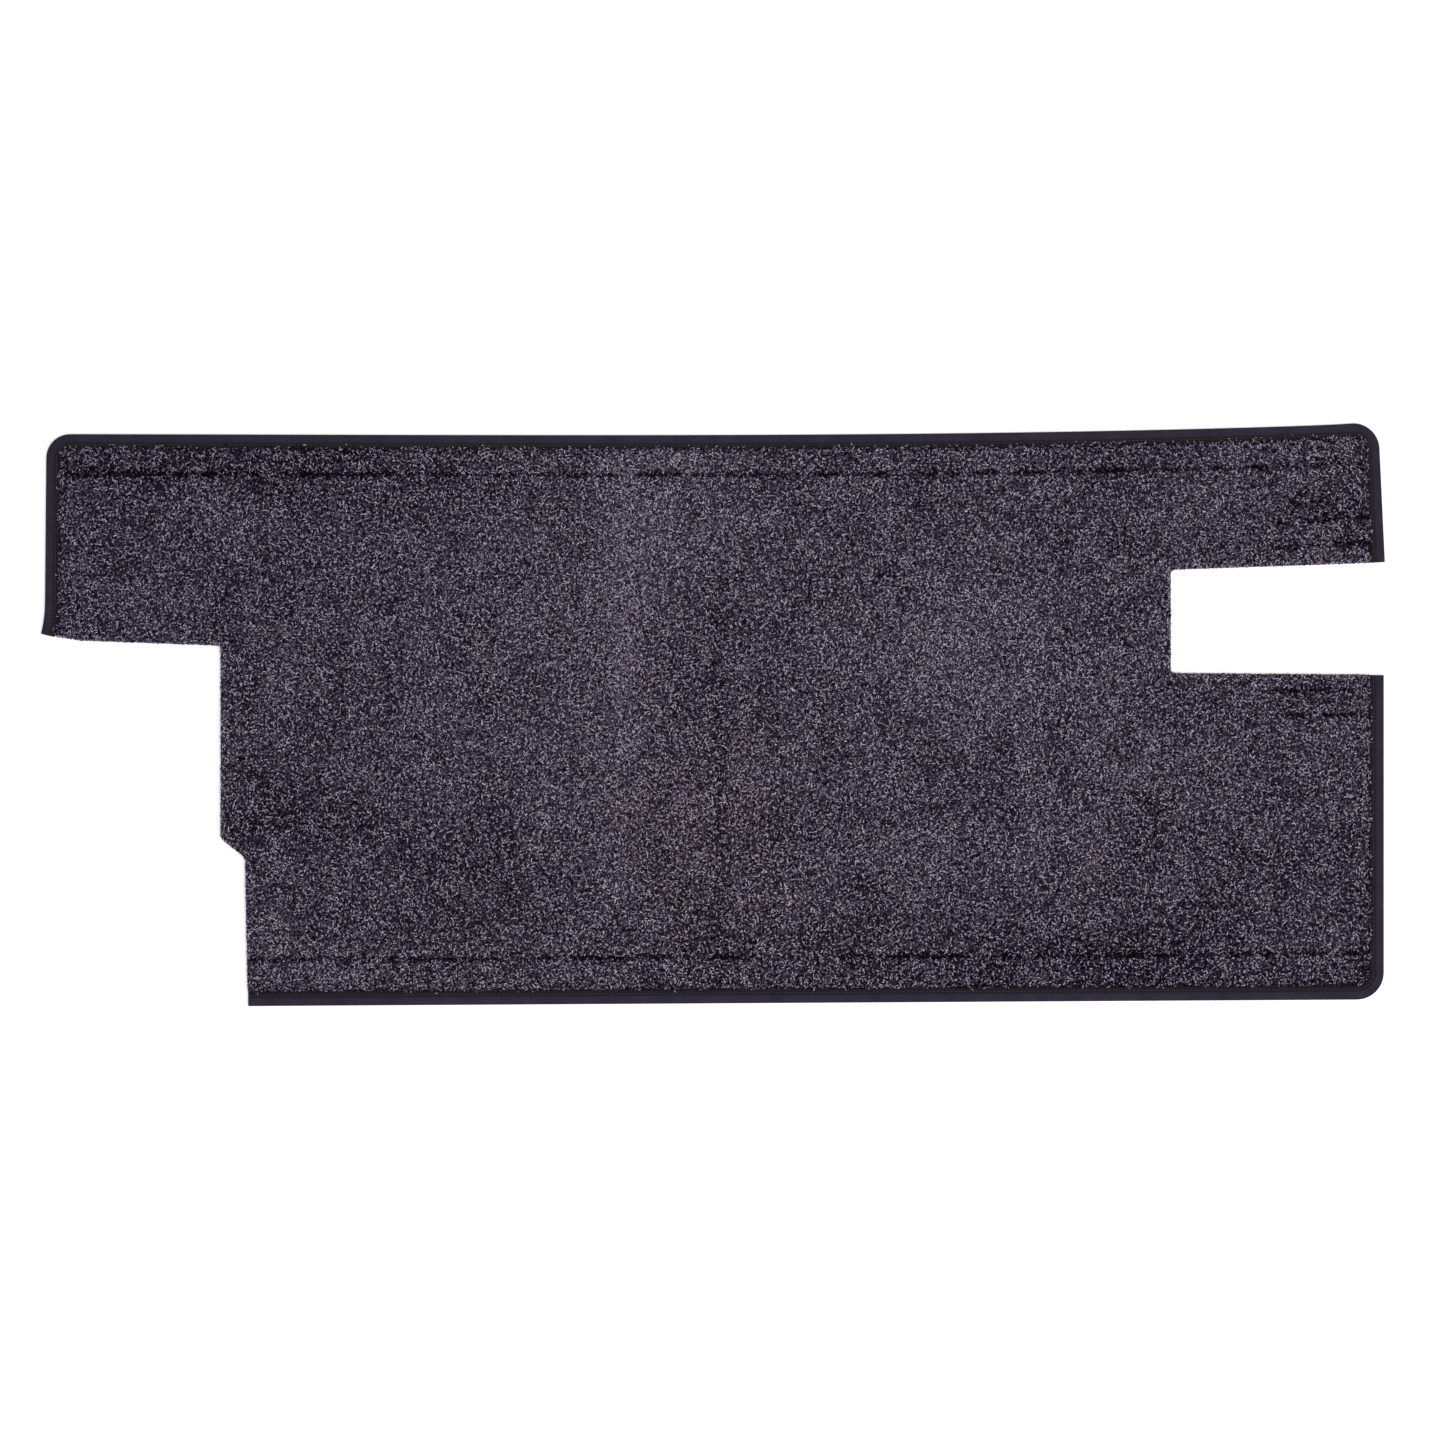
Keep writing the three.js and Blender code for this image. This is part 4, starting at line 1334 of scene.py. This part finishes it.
def stitch_dimples(tree, given, read):
    """How far each stitch draws the tape in: one dimple a stitch, deepest along the seam."""
    turns = add(tree, "ShaderNodeMath", {"operation": "DIVIDE"}, {0: read["run"], 1: given["Stitch"]})
    angle = add(tree, "ShaderNodeMath", {"operation": "MULTIPLY"}, {0: turns.outputs[0], 1: math.pi})
    beat = add(tree, "ShaderNodeMath", {"operation": "SINE"}, {0: angle.outputs[0]})
    pull = add(tree, "ShaderNodeMath", {"operation": "ABSOLUTE"}, {0: beat.outputs[0]})
    off_seam = add(
        tree, "ShaderNodeMath", {"operation": "SUBTRACT"}, {0: read["inset"], 1: given["Seam inset"]}
    )
    share = add(
        tree, "ShaderNodeMath", {"operation": "MULTIPLY"}, {0: off_seam.outputs[0], 1: 1 / DIMPLE_REACH}
    )
    squared = add(tree, "ShaderNodeMath", {"operation": "POWER"}, {0: share.outputs[0], 1: 2.0})
    fall = add(tree, "ShaderNodeMath", {"operation": "MULTIPLY"}, {0: squared.outputs[0], 1: -1.0})
    near = add(tree, "ShaderNodeMath", {"operation": "EXPONENT"}, {0: fall.outputs[0]})
    drawn = add(
        tree, "ShaderNodeMath", {"operation": "MULTIPLY"}, {0: pull.outputs[0], 1: near.outputs[0]}
    )
    dimple = add(
        tree, "ShaderNodeMath", {"operation": "MULTIPLY"}, {0: drawn.outputs[0], 1: given["Dimple"]}
    )
    return dimple.outputs[0]


def cross_wrinkles(tree, given, read):
    """Soft wrinkles that run across the tape, uneven along it."""
    lengthwise = add(tree, "ShaderNodeCombineXYZ", inputs={0: read["run"], 1: read["inset"]})
    squeezed = add(
        tree,
        "ShaderNodeVectorMath",
        {"operation": "MULTIPLY"},
        {0: lengthwise.outputs[0], 1: (1.0, 0.25, 1.0)},
    )
    wrinkle = add(
        tree,
        "ShaderNodeTexNoise",
        inputs={"Vector": squeezed.outputs[0], "Scale": 1 / WRINKLE_SIZE, "Detail": 2},
    )
    centred = add(
        tree, "ShaderNodeMath", {"operation": "SUBTRACT"}, {0: wrinkle.outputs["Fac"], 1: 0.5}
    )
    doubled = add(tree, "ShaderNodeMath", {"operation": "MULTIPLY"}, {0: centred.outputs[0], 1: 2.0})
    puckered = add(
        tree, "ShaderNodeMath", {"operation": "MULTIPLY"}, {0: doubled.outputs[0], 1: given["Pucker"]}
    )
    return puckered.outputs[0]


def tape_tree():
    """Carries the tape's section along an edge, with stitch dimples and cross wrinkles."""
    tree, given = new_tree(
        "edge tape",
        [
            ("Section", "Object", None),
            ("Ring step", "Float", 2 * MM),
            ("Stitch", "Float", 3.6 * MM),
            ("Dimple", "Float", 0.16 * MM),
            ("Pucker", "Float", 0.14 * MM),
            ("Seam inset", "Float", 8.8 * MM),
            ("Tape", "Material", None),
        ],
    )
    edge = add(tree, "GeometryNodeMeshToCurve", inputs={0: given["Geometry"]})
    rings = add(
        tree,
        "GeometryNodeResampleCurve",
        {"mode": "LENGTH"},
        {"Curve": edge.outputs[0], "Length": given["Ring step"]},
    )
    upright = add(tree, "GeometryNodeSetCurveNormal", {"mode": "Z_UP"}, {"Curve": rings.outputs[0]})
    run = add(tree, "GeometryNodeSplineParameter").outputs["Length"]
    marked = add(
        tree,
        "GeometryNodeStoreNamedAttribute",
        {"data_type": "FLOAT", "domain": "POINT"},
        {"Geometry": upright.outputs[0], "Name": "run", "Value": run},
    )
    section = add(
        tree, "GeometryNodeObjectInfo", inputs={"Object": given["Section"]}
    ).outputs["Geometry"]
    round_it = add(tree, "GeometryNodeMeshToCurve", inputs={0: section})
    swept = add(
        tree,
        "GeometryNodeCurveToMesh",
        inputs={"Curve": marked.outputs[0], "Profile Curve": round_it.outputs[0], "Fill Caps": True},
    )
    read = {
        name: add(
            tree, "GeometryNodeInputNamedAttribute", {"data_type": "FLOAT"}, {"Name": name}
        ).outputs[0]
        for name in ("run", "inset", "girth", "outer")
    }
    lift = add(
        tree,
        "ShaderNodeMath",
        {"operation": "SUBTRACT"},
        {0: cross_wrinkles(tree, given, read), 1: stitch_dimples(tree, given, read)},
    )
    shown = add(
        tree, "ShaderNodeMath", {"operation": "MULTIPLY"}, {0: lift.outputs[0], 1: read["outer"]}
    )
    shift = add(tree, "ShaderNodeCombineXYZ", inputs={2: shown.outputs[0]})
    shaped = add(
        tree,
        "GeometryNodeSetPosition",
        inputs={"Geometry": swept.outputs[0], "Offset": shift.outputs[0]},
    )
    spread = add(tree, "ShaderNodeCombineXYZ", inputs={0: read["run"], 1: read["girth"]})
    mapped = add(
        tree,
        "GeometryNodeStoreNamedAttribute",
        {"data_type": "FLOAT2", "domain": "CORNER"},
        {"Geometry": shaped.outputs[0], "Name": "Weave", "Value": spread.outputs[0]},
    )
    smoothed = add(tree, "GeometryNodeSetShadeSmooth", inputs={"Geometry": mapped.outputs[0]})
    close_tree(tree, smoothed.outputs[0], given["Tape"])
    return tree


def path_mesh(name, lines, height):
    """A mesh of open lines at one height."""
    verts, edges = [], []
    for line in lines:
        start = len(verts)
        verts += [(*p, height) for p in line]
        edges += [(start + i, start + i + 1) for i in range(len(line) - 1)]
    return mesh_of(name, verts, edges=edges)


class TAILGATEMAT_OT_edge_tapes(bpy.types.Operator):
    """Makes the two edge tapes, folded round the carpet's long edges and rounded corners."""

    bl_idname = "tailgate_mat.edge_tapes"
    bl_label = "Edge Tapes"

    def execute(self, context):
        scene = context.scene
        at = places(scene.mat_outline)
        pile, tape = scene.mat_pile, scene.mat_tape
        section = tape_section(pile, tape)
        count = len(section)
        # A swept section's first axis points to the right of the edge and its second one down
        drawn = mesh_of(
            "tape_section",
            [(-inset, -height, 0) for inset, height in section],
            edges=[(i, (i + 1) % count) for i in range(count)],
        )
        girth = np.concatenate([[0], np.cumsum(np.linalg.norm(np.diff(section, axis=0), axis=1))])
        over = pile.backing_height + pile.sewn_thickness
        note(drawn, "inset", section[:, 0])
        note(drawn, "girth", girth)
        note(drawn, "outer", section[:, 1] > over + 0.3 * tape.thickness)
        profile = link("tape_section", drawn)
        tree = tape_tree()
        material = woven_tape(tape)
        for name, node, edge in (
            ("back_edge_tape", "upper_binding", back_tape_edge(at)),
            ("front_edge_tape", "lower_binding", front_tape_edge(at)),
        ):
            carrier = link("tape_edge", path_mesh("tape_edge", [edge], 0))
            values = {
                "Section": profile,
                "Ring step": tape.ring_step,
                "Stitch": scene.mat_thread.stitch,
                "Dimple": tape.dimple,
                "Pucker": tape.pucker,
                "Seam inset": tape.seam_inset,
                "Tape": material,
            }
            finished(grown(name, carrier, tree, values), "edge_tape", node)
        drop(profile)
        return {"FINISHED"}


# Hook strips

# A hook's middle line and its radius in mm: it hangs from the ground and turns up at its tip
HOOK_SHAPE = ((0, 0, 0.1), (0.03, 0, -0.3), (0.15, 0, -0.6), (0.5, 0, -0.64), (0.66, 0, -0.32))
HOOK_RADIUS = 0.17
# Spots of a strip's ground across it, and their spacing along it
GROUND_ROWS = 9
GROUND_STEP = 3 * MM


def under_lap_room(at, tape, strips, spots):
    """How far each spot lies inside the tapes' under laps."""
    edges = (front_tape_edge(at), back_tape_edge(at))
    return np.minimum(*(distance_to(e, spots) for e in edges)) - tape.under_lap - strips.gap


def build_ground(at, place, strips, tape):
    """A strip's woven ground: a thin slab trimmed round the corners of the under laps."""
    line, width, _ = place
    columns = max(2, round(np.linalg.norm(np.diff(line, axis=0), axis=1).sum() / GROUND_STEP))
    grid = []
    rows = GROUND_ROWS
    for i in range(rows):
        full = across(place, width * i / (rows - 1))
        reach = np.concatenate([[0], np.cumsum(np.linalg.norm(np.diff(full, axis=0), axis=1))])
        marks = np.linspace(0, reach[-1], columns + 1)
        grid.append(np.column_stack([np.interp(marks, reach, full[:, k]) for k in (0, 1)]))
    grid = np.array(grid)
    spots = grid.reshape(-1, 2)
    short = np.maximum(0, -under_lap_room(at, tape, strips, spots)).reshape(rows, columns + 1)
    # A corner that would lie on the under lap is drawn in towards the strip's middle
    middle = grid[rows // 2][None, :, :]
    way = middle - grid
    away = np.linalg.norm(way, axis=2, keepdims=True) + 1e-9
    inward = np.sign(np.arange(columns + 1) - columns / 2)[None, :, None] * -1
    run = np.gradient(grid[rows // 2], axis=0)
    run /= np.linalg.norm(run, axis=1)[:, None]
    return grid + (way / away + run[None] * inward * 0.8) * short[:, :, None] * 1.1


class TAILGATEMAT_OT_hook_strips(bpy.types.Operator):
    """Makes the four hook strips on the underside: woven grounds with fields of hooks."""

    bl_idname = "tailgate_mat.hook_strips"
    bl_label = "Hook Strips"

    def execute(self, context):
        scene = context.scene
        at = places(scene.mat_outline)
        tape, strips = scene.mat_tape, scene.mat_strips
        ground_material = hook_ground(strips)
        hook_material = nylon_strand("drawn nylon hooks", strips.hook_colour, 0.45)
        hook = template(
            "hook_shape", [np.array(p) * MM for p in HOOK_SHAPE], [HOOK_RADIUS * MM] * len(HOOK_SHAPE)
        )
        tree = hook_tree()
        for name, place in strip_places(at, strips, tape).items():
            grid = build_ground(at, place, strips, tape)
            mesh = slab("woven_ground", grid, strips.thickness - strips.ground, strips.thickness)
            mesh.materials.append(ground_material)
            finished(link(name.replace("hook_strip", "strip_ground"), mesh), "hook_tape", name)
            spots = hook_spots(at, place, strips, tape)
            height = strips.thickness - strips.ground
            field = mesh_of("hook_spots", [(*p[:2], height) for p in spots])
            note(field, "heading", spots[:, 2])
            piece = grown(
                name.replace("hook_strip", "strip_hooks"),
                link("hook_spots", field),
                tree,
                {"Hook": hook, "Seed": 3, "Nylon": hook_material},
            )
            finished(piece, "hook_tape")
        drop(hook)
        return {"FINISHED"}


def slab(name, grid, low, high):
    """A closed slab between two heights over a grid of spots."""
    rows, columns = grid.shape[:2]
    flat = grid.reshape(-1, 2)
    count = len(flat)
    verts = [(*p, low) for p in flat] + [(*p, high) for p in flat]
    faces = []
    for i in range(rows - 1):
        for j in range(columns - 1):
            a = i * columns + j
            corner = (a, a + 1, a + columns + 1, a + columns)
            faces += [corner, tuple(count + k for k in reversed(corner))]
    border = list(range(columns))
    border += [i * columns + columns - 1 for i in range(1, rows)]
    border += [(rows - 1) * columns + j for j in range(columns - 2, -1, -1)]
    border += [i * columns for i in range(rows - 2, 0, -1)]
    for a, b in zip(border, border[1:] + border[:1], strict=True):
        faces.append((b, a, count + a, count + b))
    mesh = mesh_of(name, verts, faces, smooth=False)
    signed = sum(
        Vector(verts[f[0]]).dot(Vector(verts[f[1]]).cross(Vector(verts[f[2]])))
        + Vector(verts[f[0]]).dot(Vector(verts[f[2]]).cross(Vector(verts[f[3]])))
        for f in faces
    )
    if signed < 0:
        mesh.flip_normals()
    return mesh


def hook_spots(at, place, strips, tape):
    """Where the hooks stand, and which way they face: rows between the strip's selvedges."""
    _, width, _ = place
    found = []
    field = width - 2 * strips.selvedge
    rows = int(field / strips.row_step)
    for i in range(rows):
        line = across(place, strips.selvedge + (i + 0.5) * field / rows)
        spots = spaced(line, strips.hook_step)[1:-1]
        heading = np.arctan2(*(line[-1] - line[0])[::-1]) + (i % 2) * math.pi
        found.append(np.column_stack((spots, np.full(len(spots), heading))))
    spots = np.vstack(found)
    return spots[under_lap_room(at, tape, strips, spots[:, :2]) > 1.5 * MM]


def hook_tree():
    """Stands a hook on each spot, turned along its row and a little out of line."""
    tree, given = new_tree(
        "field of hooks", [("Hook", "Object", None), ("Seed", "Int", 3), ("Nylon", "Material", None)]
    )
    shape = add(tree, "GeometryNodeObjectInfo", inputs={"Object": given["Hook"]})
    heading = add(tree, "GeometryNodeInputNamedAttribute", {"data_type": "FLOAT"}, {"Name": "heading"})
    loose = add(
        tree,
        "FunctionNodeRandomValue",
        {"data_type": "FLOAT_VECTOR"},
        {0: (-0.1, -0.08, -0.3), 1: (0.1, 0.08, 0.3), "Seed": given["Seed"]},
    )
    turned = add(tree, "ShaderNodeCombineXYZ", inputs={2: heading.outputs[0]})
    turn = add(
        tree, "ShaderNodeVectorMath", {"operation": "ADD"}, {0: turned.outputs[0], 1: loose.outputs[0]}
    )
    placed = add(
        tree,
        "GeometryNodeInstanceOnPoints",
        inputs={
            "Points": given["Geometry"],
            "Instance": shape.outputs["Geometry"],
            "Rotation": add(
                tree, "FunctionNodeEulerToRotation", inputs={0: turn.outputs[0]}
            ).outputs[0],
        },
    )
    close_tree(tree, placed.outputs[0], given["Nylon"])
    return tree


# Stitches


# A stitch's middle line as (share of its half length, height in thread radii)
STITCH_LINE = ((-1, -1), (-0.75, 0), (0, 0.5), (0.75, 0), (1, -1))
# Half a stitch's thread next to the stitch's length with its gap
STITCH_REACH = 0.44


def stitch_shape(name, sewing, way):
    """One stitch that lies on the cloth, above it (1) or below it (-1), with both ends sunk in."""
    reach, thick = sewing.stitch * STITCH_REACH, sewing.thickness / 2
    points = [(share * reach, 0, way * height * thick) for share, height in STITCH_LINE]
    return template(name, points, [thick] * len(points), sides=6)


def stitch_tree():
    """Lays stitches end to end along lines, each a little out of line."""
    tree, given = new_tree(
        "row of stitches",
        [
            ("Stitch shape", "Object", None),
            ("Stitch", "Float", 3.6 * MM),
            ("Seed", "Int", 5),
            ("Thread", "Material", None),
        ],
    )
    line = add(tree, "GeometryNodeMeshToCurve", inputs={0: given["Geometry"]})
    marks = add(
        tree,
        "GeometryNodeResampleCurve",
        {"mode": "LENGTH"},
        {"Curve": line.outputs[0], "Length": given["Stitch"]},
    )
    along = add(tree, "GeometryNodeInputTangent")
    facing = add(
        tree,
        "FunctionNodeAxesToRotation",
        {"primary_axis": "X", "secondary_axis": "Z"},
        {0: along.outputs[0], 1: UP},
    )
    loose = add(
        tree,
        "FunctionNodeRandomValue",
        {"data_type": "FLOAT_VECTOR"},
        {0: (-0.1, -0.06, -0.13), 1: (0.1, 0.06, 0.13), "Seed": given["Seed"]},
    )
    turned = add(
        tree,
        "FunctionNodeRotateRotation",
        {"rotation_space": "LOCAL"},
        {
            0: facing.outputs[0],
            1: add(tree, "FunctionNodeEulerToRotation", inputs={0: loose.outputs[0]}).outputs[0],
        },
    )
    placed = add(
        tree,
        "GeometryNodeInstanceOnPoints",
        inputs={
            "Points": marks.outputs[0],
            "Instance": add(
                tree, "GeometryNodeObjectInfo", inputs={"Object": given["Stitch shape"]}
            ).outputs["Geometry"],
            "Rotation": turned.outputs[0],
        },
    )
    close_tree(tree, placed.outputs[0], given["Thread"])
    return tree


class TAILGATEMAT_OT_stitches(bpy.types.Operator):
    """Sews the seams of the edge tapes and of the hook strips, on both sides of the mat."""

    bl_idname = "tailgate_mat.stitches"
    bl_label = "Stitches"

    def execute(self, context):
        scene = context.scene
        at = places(scene.mat_outline)
        pile, tape, strips = scene.mat_pile, scene.mat_tape, scene.mat_strips
        sewing = scene.mat_thread
        shape = stitch_shape("stitch_shape", sewing, 1)
        under_shape = stitch_shape("under_stitch_shape", sewing, -1)
        material = nylon_strand("bonded sewing thread", sewing.thread, 0.55)
        tree = stitch_tree()
        laid = strip_places(at, strips, tape)
        seams = [inside(edge(at), tape.seam_inset) for edge in (back_tape_edge, front_tape_edge)]
        seams = [spaced(s, 2 * MM)[1:-1] for s in seams]
        strip_seams = []
        for place in laid.values():
            for inset in (strips.stitch_margin, place[1] - strips.stitch_margin):
                line = spaced(across(place, inset), 2 * MM)
                room = under_lap_room(at, tape, strips, line) > 1 * MM
                strip_seams.append(line[room])
        high = pile.backing_height + pile.sewn_thickness + tape.thickness
        over = high - tape.seam_depth + 0.12 * MM
        under = pile.backing_height - tape.thickness
        valley = pile.backing_height + pile.thickness - pile.valley_depth + 0.3 * MM
        strip_face = strips.thickness - strips.ground
        for name, slot, lines, height, stitch in (
            ("tape_seam_top", "edge_tape", seams, over, shape),
            ("tape_seam_under", "edge_tape", seams, under, under_shape),
            ("strip_seams_top", "hook_tape", shown_rows(at, strips, tape), valley, shape),
            ("strip_seams_under", "hook_tape", strip_seams, strip_face, under_shape),
        ):
            carrier = link("seam_lines", path_mesh("seam_lines", lines, height))
            values = {"Stitch shape": stitch, "Stitch": sewing.stitch, "Seed": 5, "Thread": material}
            finished(grown(name, carrier, tree, values), slot)
        drop(shape, under_shape)
        return {"FINISHED"}


# Stage


# Half the floor's width, and the soft lamp's place, in metres
FLOOR_HALF = 12
LAMP_PLACE = (0.3, -0.25, 1.95)
# How far the floor is lifted to white for the camera
FLOOR_LIFT = 0.35


class TAILGATEMAT_OT_stage(bpy.types.Operator):
    """Sets the pale floor, the soft light and the camera straight above the mat."""

    bl_idname = "tailgate_mat.stage"
    bl_label = "Stage"

    def execute(self, context):
        scene = context.scene
        stage = scene.mat_stage
        half = FLOOR_HALF
        floor = link(
            "floor",
            mesh_of(
                "floor",
                [(-half, -half, 0), (half, -half, 0), (half, half, 0), (-half, half, 0)],
                [(0, 1, 2, 3)],
            ),
        )
        floor.data.materials.append(pale_floor(stage))
        light_the_world(scene, stage)

        lamp_data = bpy.data.lights.new("soft_lamp", "AREA")
        lamp_data.shape = "DISK"
        lamp_data.size = stage.lamp_size
        lamp_data.energy = stage.lamp
        lamp = bpy.data.objects.new("soft_lamp", lamp_data)
        scene.collection.objects.link(lamp)
        lamp.location = LAMP_PLACE
        lamp.rotation_euler = (-lamp.location).to_track_quat("-Z", "Y").to_euler()

        camera_data = bpy.data.cameras.new("camera")
        camera_data.sensor_width = 36
        camera_data.lens = camera_data.sensor_width * stage.camera_height / stage.frame_width
        camera_data.clip_end = 100
        camera = bpy.data.objects.new("camera", camera_data)
        scene.collection.objects.link(camera)
        edge_height = scene.mat_pile.backing_height + scene.mat_pile.sewn_thickness / 2
        camera.location = (stage.centre_x, stage.centre_y, edge_height + stage.camera_height)
        scene.camera = camera
        scene.view_settings.view_transform = "Standard"
        return {"FINISHED"}


def pale_floor(stage):
    """Smooth painted board: plain and matt. The camera sees it lifted to white, with the shadow."""
    material, tree, shader = new_material(
        "matt painted board",
        {"Base Color": (*stage.floor_colour, 1), "Roughness": 0.9, "Specular IOR Level": 0.1},
    )
    seen = add(tree, "ShaderNodeLightPath")
    direct = add(
        tree,
        "ShaderNodeMath",
        {"operation": "MAXIMUM"},
        {0: seen.outputs["Is Camera Ray"], 1: seen.outputs["Is Glossy Ray"]},
    )
    lift = add(tree, "ShaderNodeMath", {"operation": "MULTIPLY"}, {0: direct.outputs[0], 1: FLOOR_LIFT})
    tree.links.new(lift.outputs[0], shader.inputs["Emission Strength"])
    shader.inputs["Emission Color"].default_value = (1, 1, 1, 1)
    return material


def light_the_world(scene, stage):
    """Even light from all round, and plain white where the camera looks past the floor."""
    world = bpy.data.worlds.new("studio")
    world.use_nodes = True
    tree = world.node_tree
    tree.nodes.clear()
    seen = add(tree, "ShaderNodeLightPath")
    direct = add(
        tree,
        "ShaderNodeMath",
        {"operation": "MAXIMUM"},
        {0: seen.outputs["Is Camera Ray"], 1: seen.outputs["Is Glossy Ray"]},
    )
    strength = add(
        tree,
        "ShaderNodeMapRange",
        inputs={"Value": direct.outputs[0], 1: 0.0, 2: 1.0, 3: stage.sky, 4: 1.0},
    )
    sky = add(
        tree, "ShaderNodeBackground", inputs={"Color": (1, 1, 1, 1), "Strength": strength.outputs[0]}
    )
    add(tree, "ShaderNodeOutputWorld", inputs={"Surface": sky.outputs[0]})
    scene.world = world


# Panel and registration

OPERATORS = (
    TAILGATEMAT_OT_carpet,
    TAILGATEMAT_OT_edge_tapes,
    TAILGATEMAT_OT_hook_strips,
    TAILGATEMAT_OT_stitches,
    TAILGATEMAT_OT_stage,
)
GROUPS = {
    "mat_outline": OutlineSizes,
    "mat_pile": PileSizes,
    "mat_tape": TapeSizes,
    "mat_strips": StripSizes,
    "mat_thread": ThreadSizes,
    "mat_stage": StageSizes,
}


class TAILGATEMAT_PT_panel(bpy.types.Panel):
    """Lists the mat's pieces and their sizes."""

    bl_label = "Tailgate Mat"
    bl_idname = "TAILGATEMAT_PT_panel"
    bl_space_type = "VIEW_3D"
    bl_region_type = "UI"
    bl_category = "Tailgate Mat"

    def draw(self, context):
        for operator in OPERATORS:
            self.layout.operator(operator.bl_idname)
        for name, group in GROUPS.items():
            box = self.layout.box()
            box.label(text=group.__doc__.split(".")[0])
            for item in group.__annotations__:
                box.prop(getattr(context.scene, name), item)


def register():
    """Registers the property groups, the operators and the panel."""
    for item in (*GROUPS.values(), *OPERATORS, TAILGATEMAT_PT_panel):
        bpy.utils.register_class(item)
    for name, group in GROUPS.items():
        setattr(bpy.types.Scene, name, bpy.props.PointerProperty(type=group))


def unregister():
    """Takes them away again."""
    for name in GROUPS:
        delattr(bpy.types.Scene, name)
    for item in reversed((*GROUPS.values(), *OPERATORS, TAILGATEMAT_PT_panel)):
        bpy.utils.unregister_class(item)


def declare_sheet():
    """Works out the carpet's outline from the mat's outline and tape sizes; nothing more is done with
    it.
    """
    outline = bpy.context.scene.mat_outline
    at = places(outline)
    rim = carpet_outline(at, bpy.context.scene.mat_tape)


def main():
    register()
    bpy.ops.tailgate_mat.carpet()
    bpy.ops.tailgate_mat.edge_tapes()
    bpy.ops.tailgate_mat.hook_strips()
    bpy.ops.tailgate_mat.stitches()
    bpy.ops.tailgate_mat.stage()
    declare_sheet()


if __name__ == "__main__":
    main()
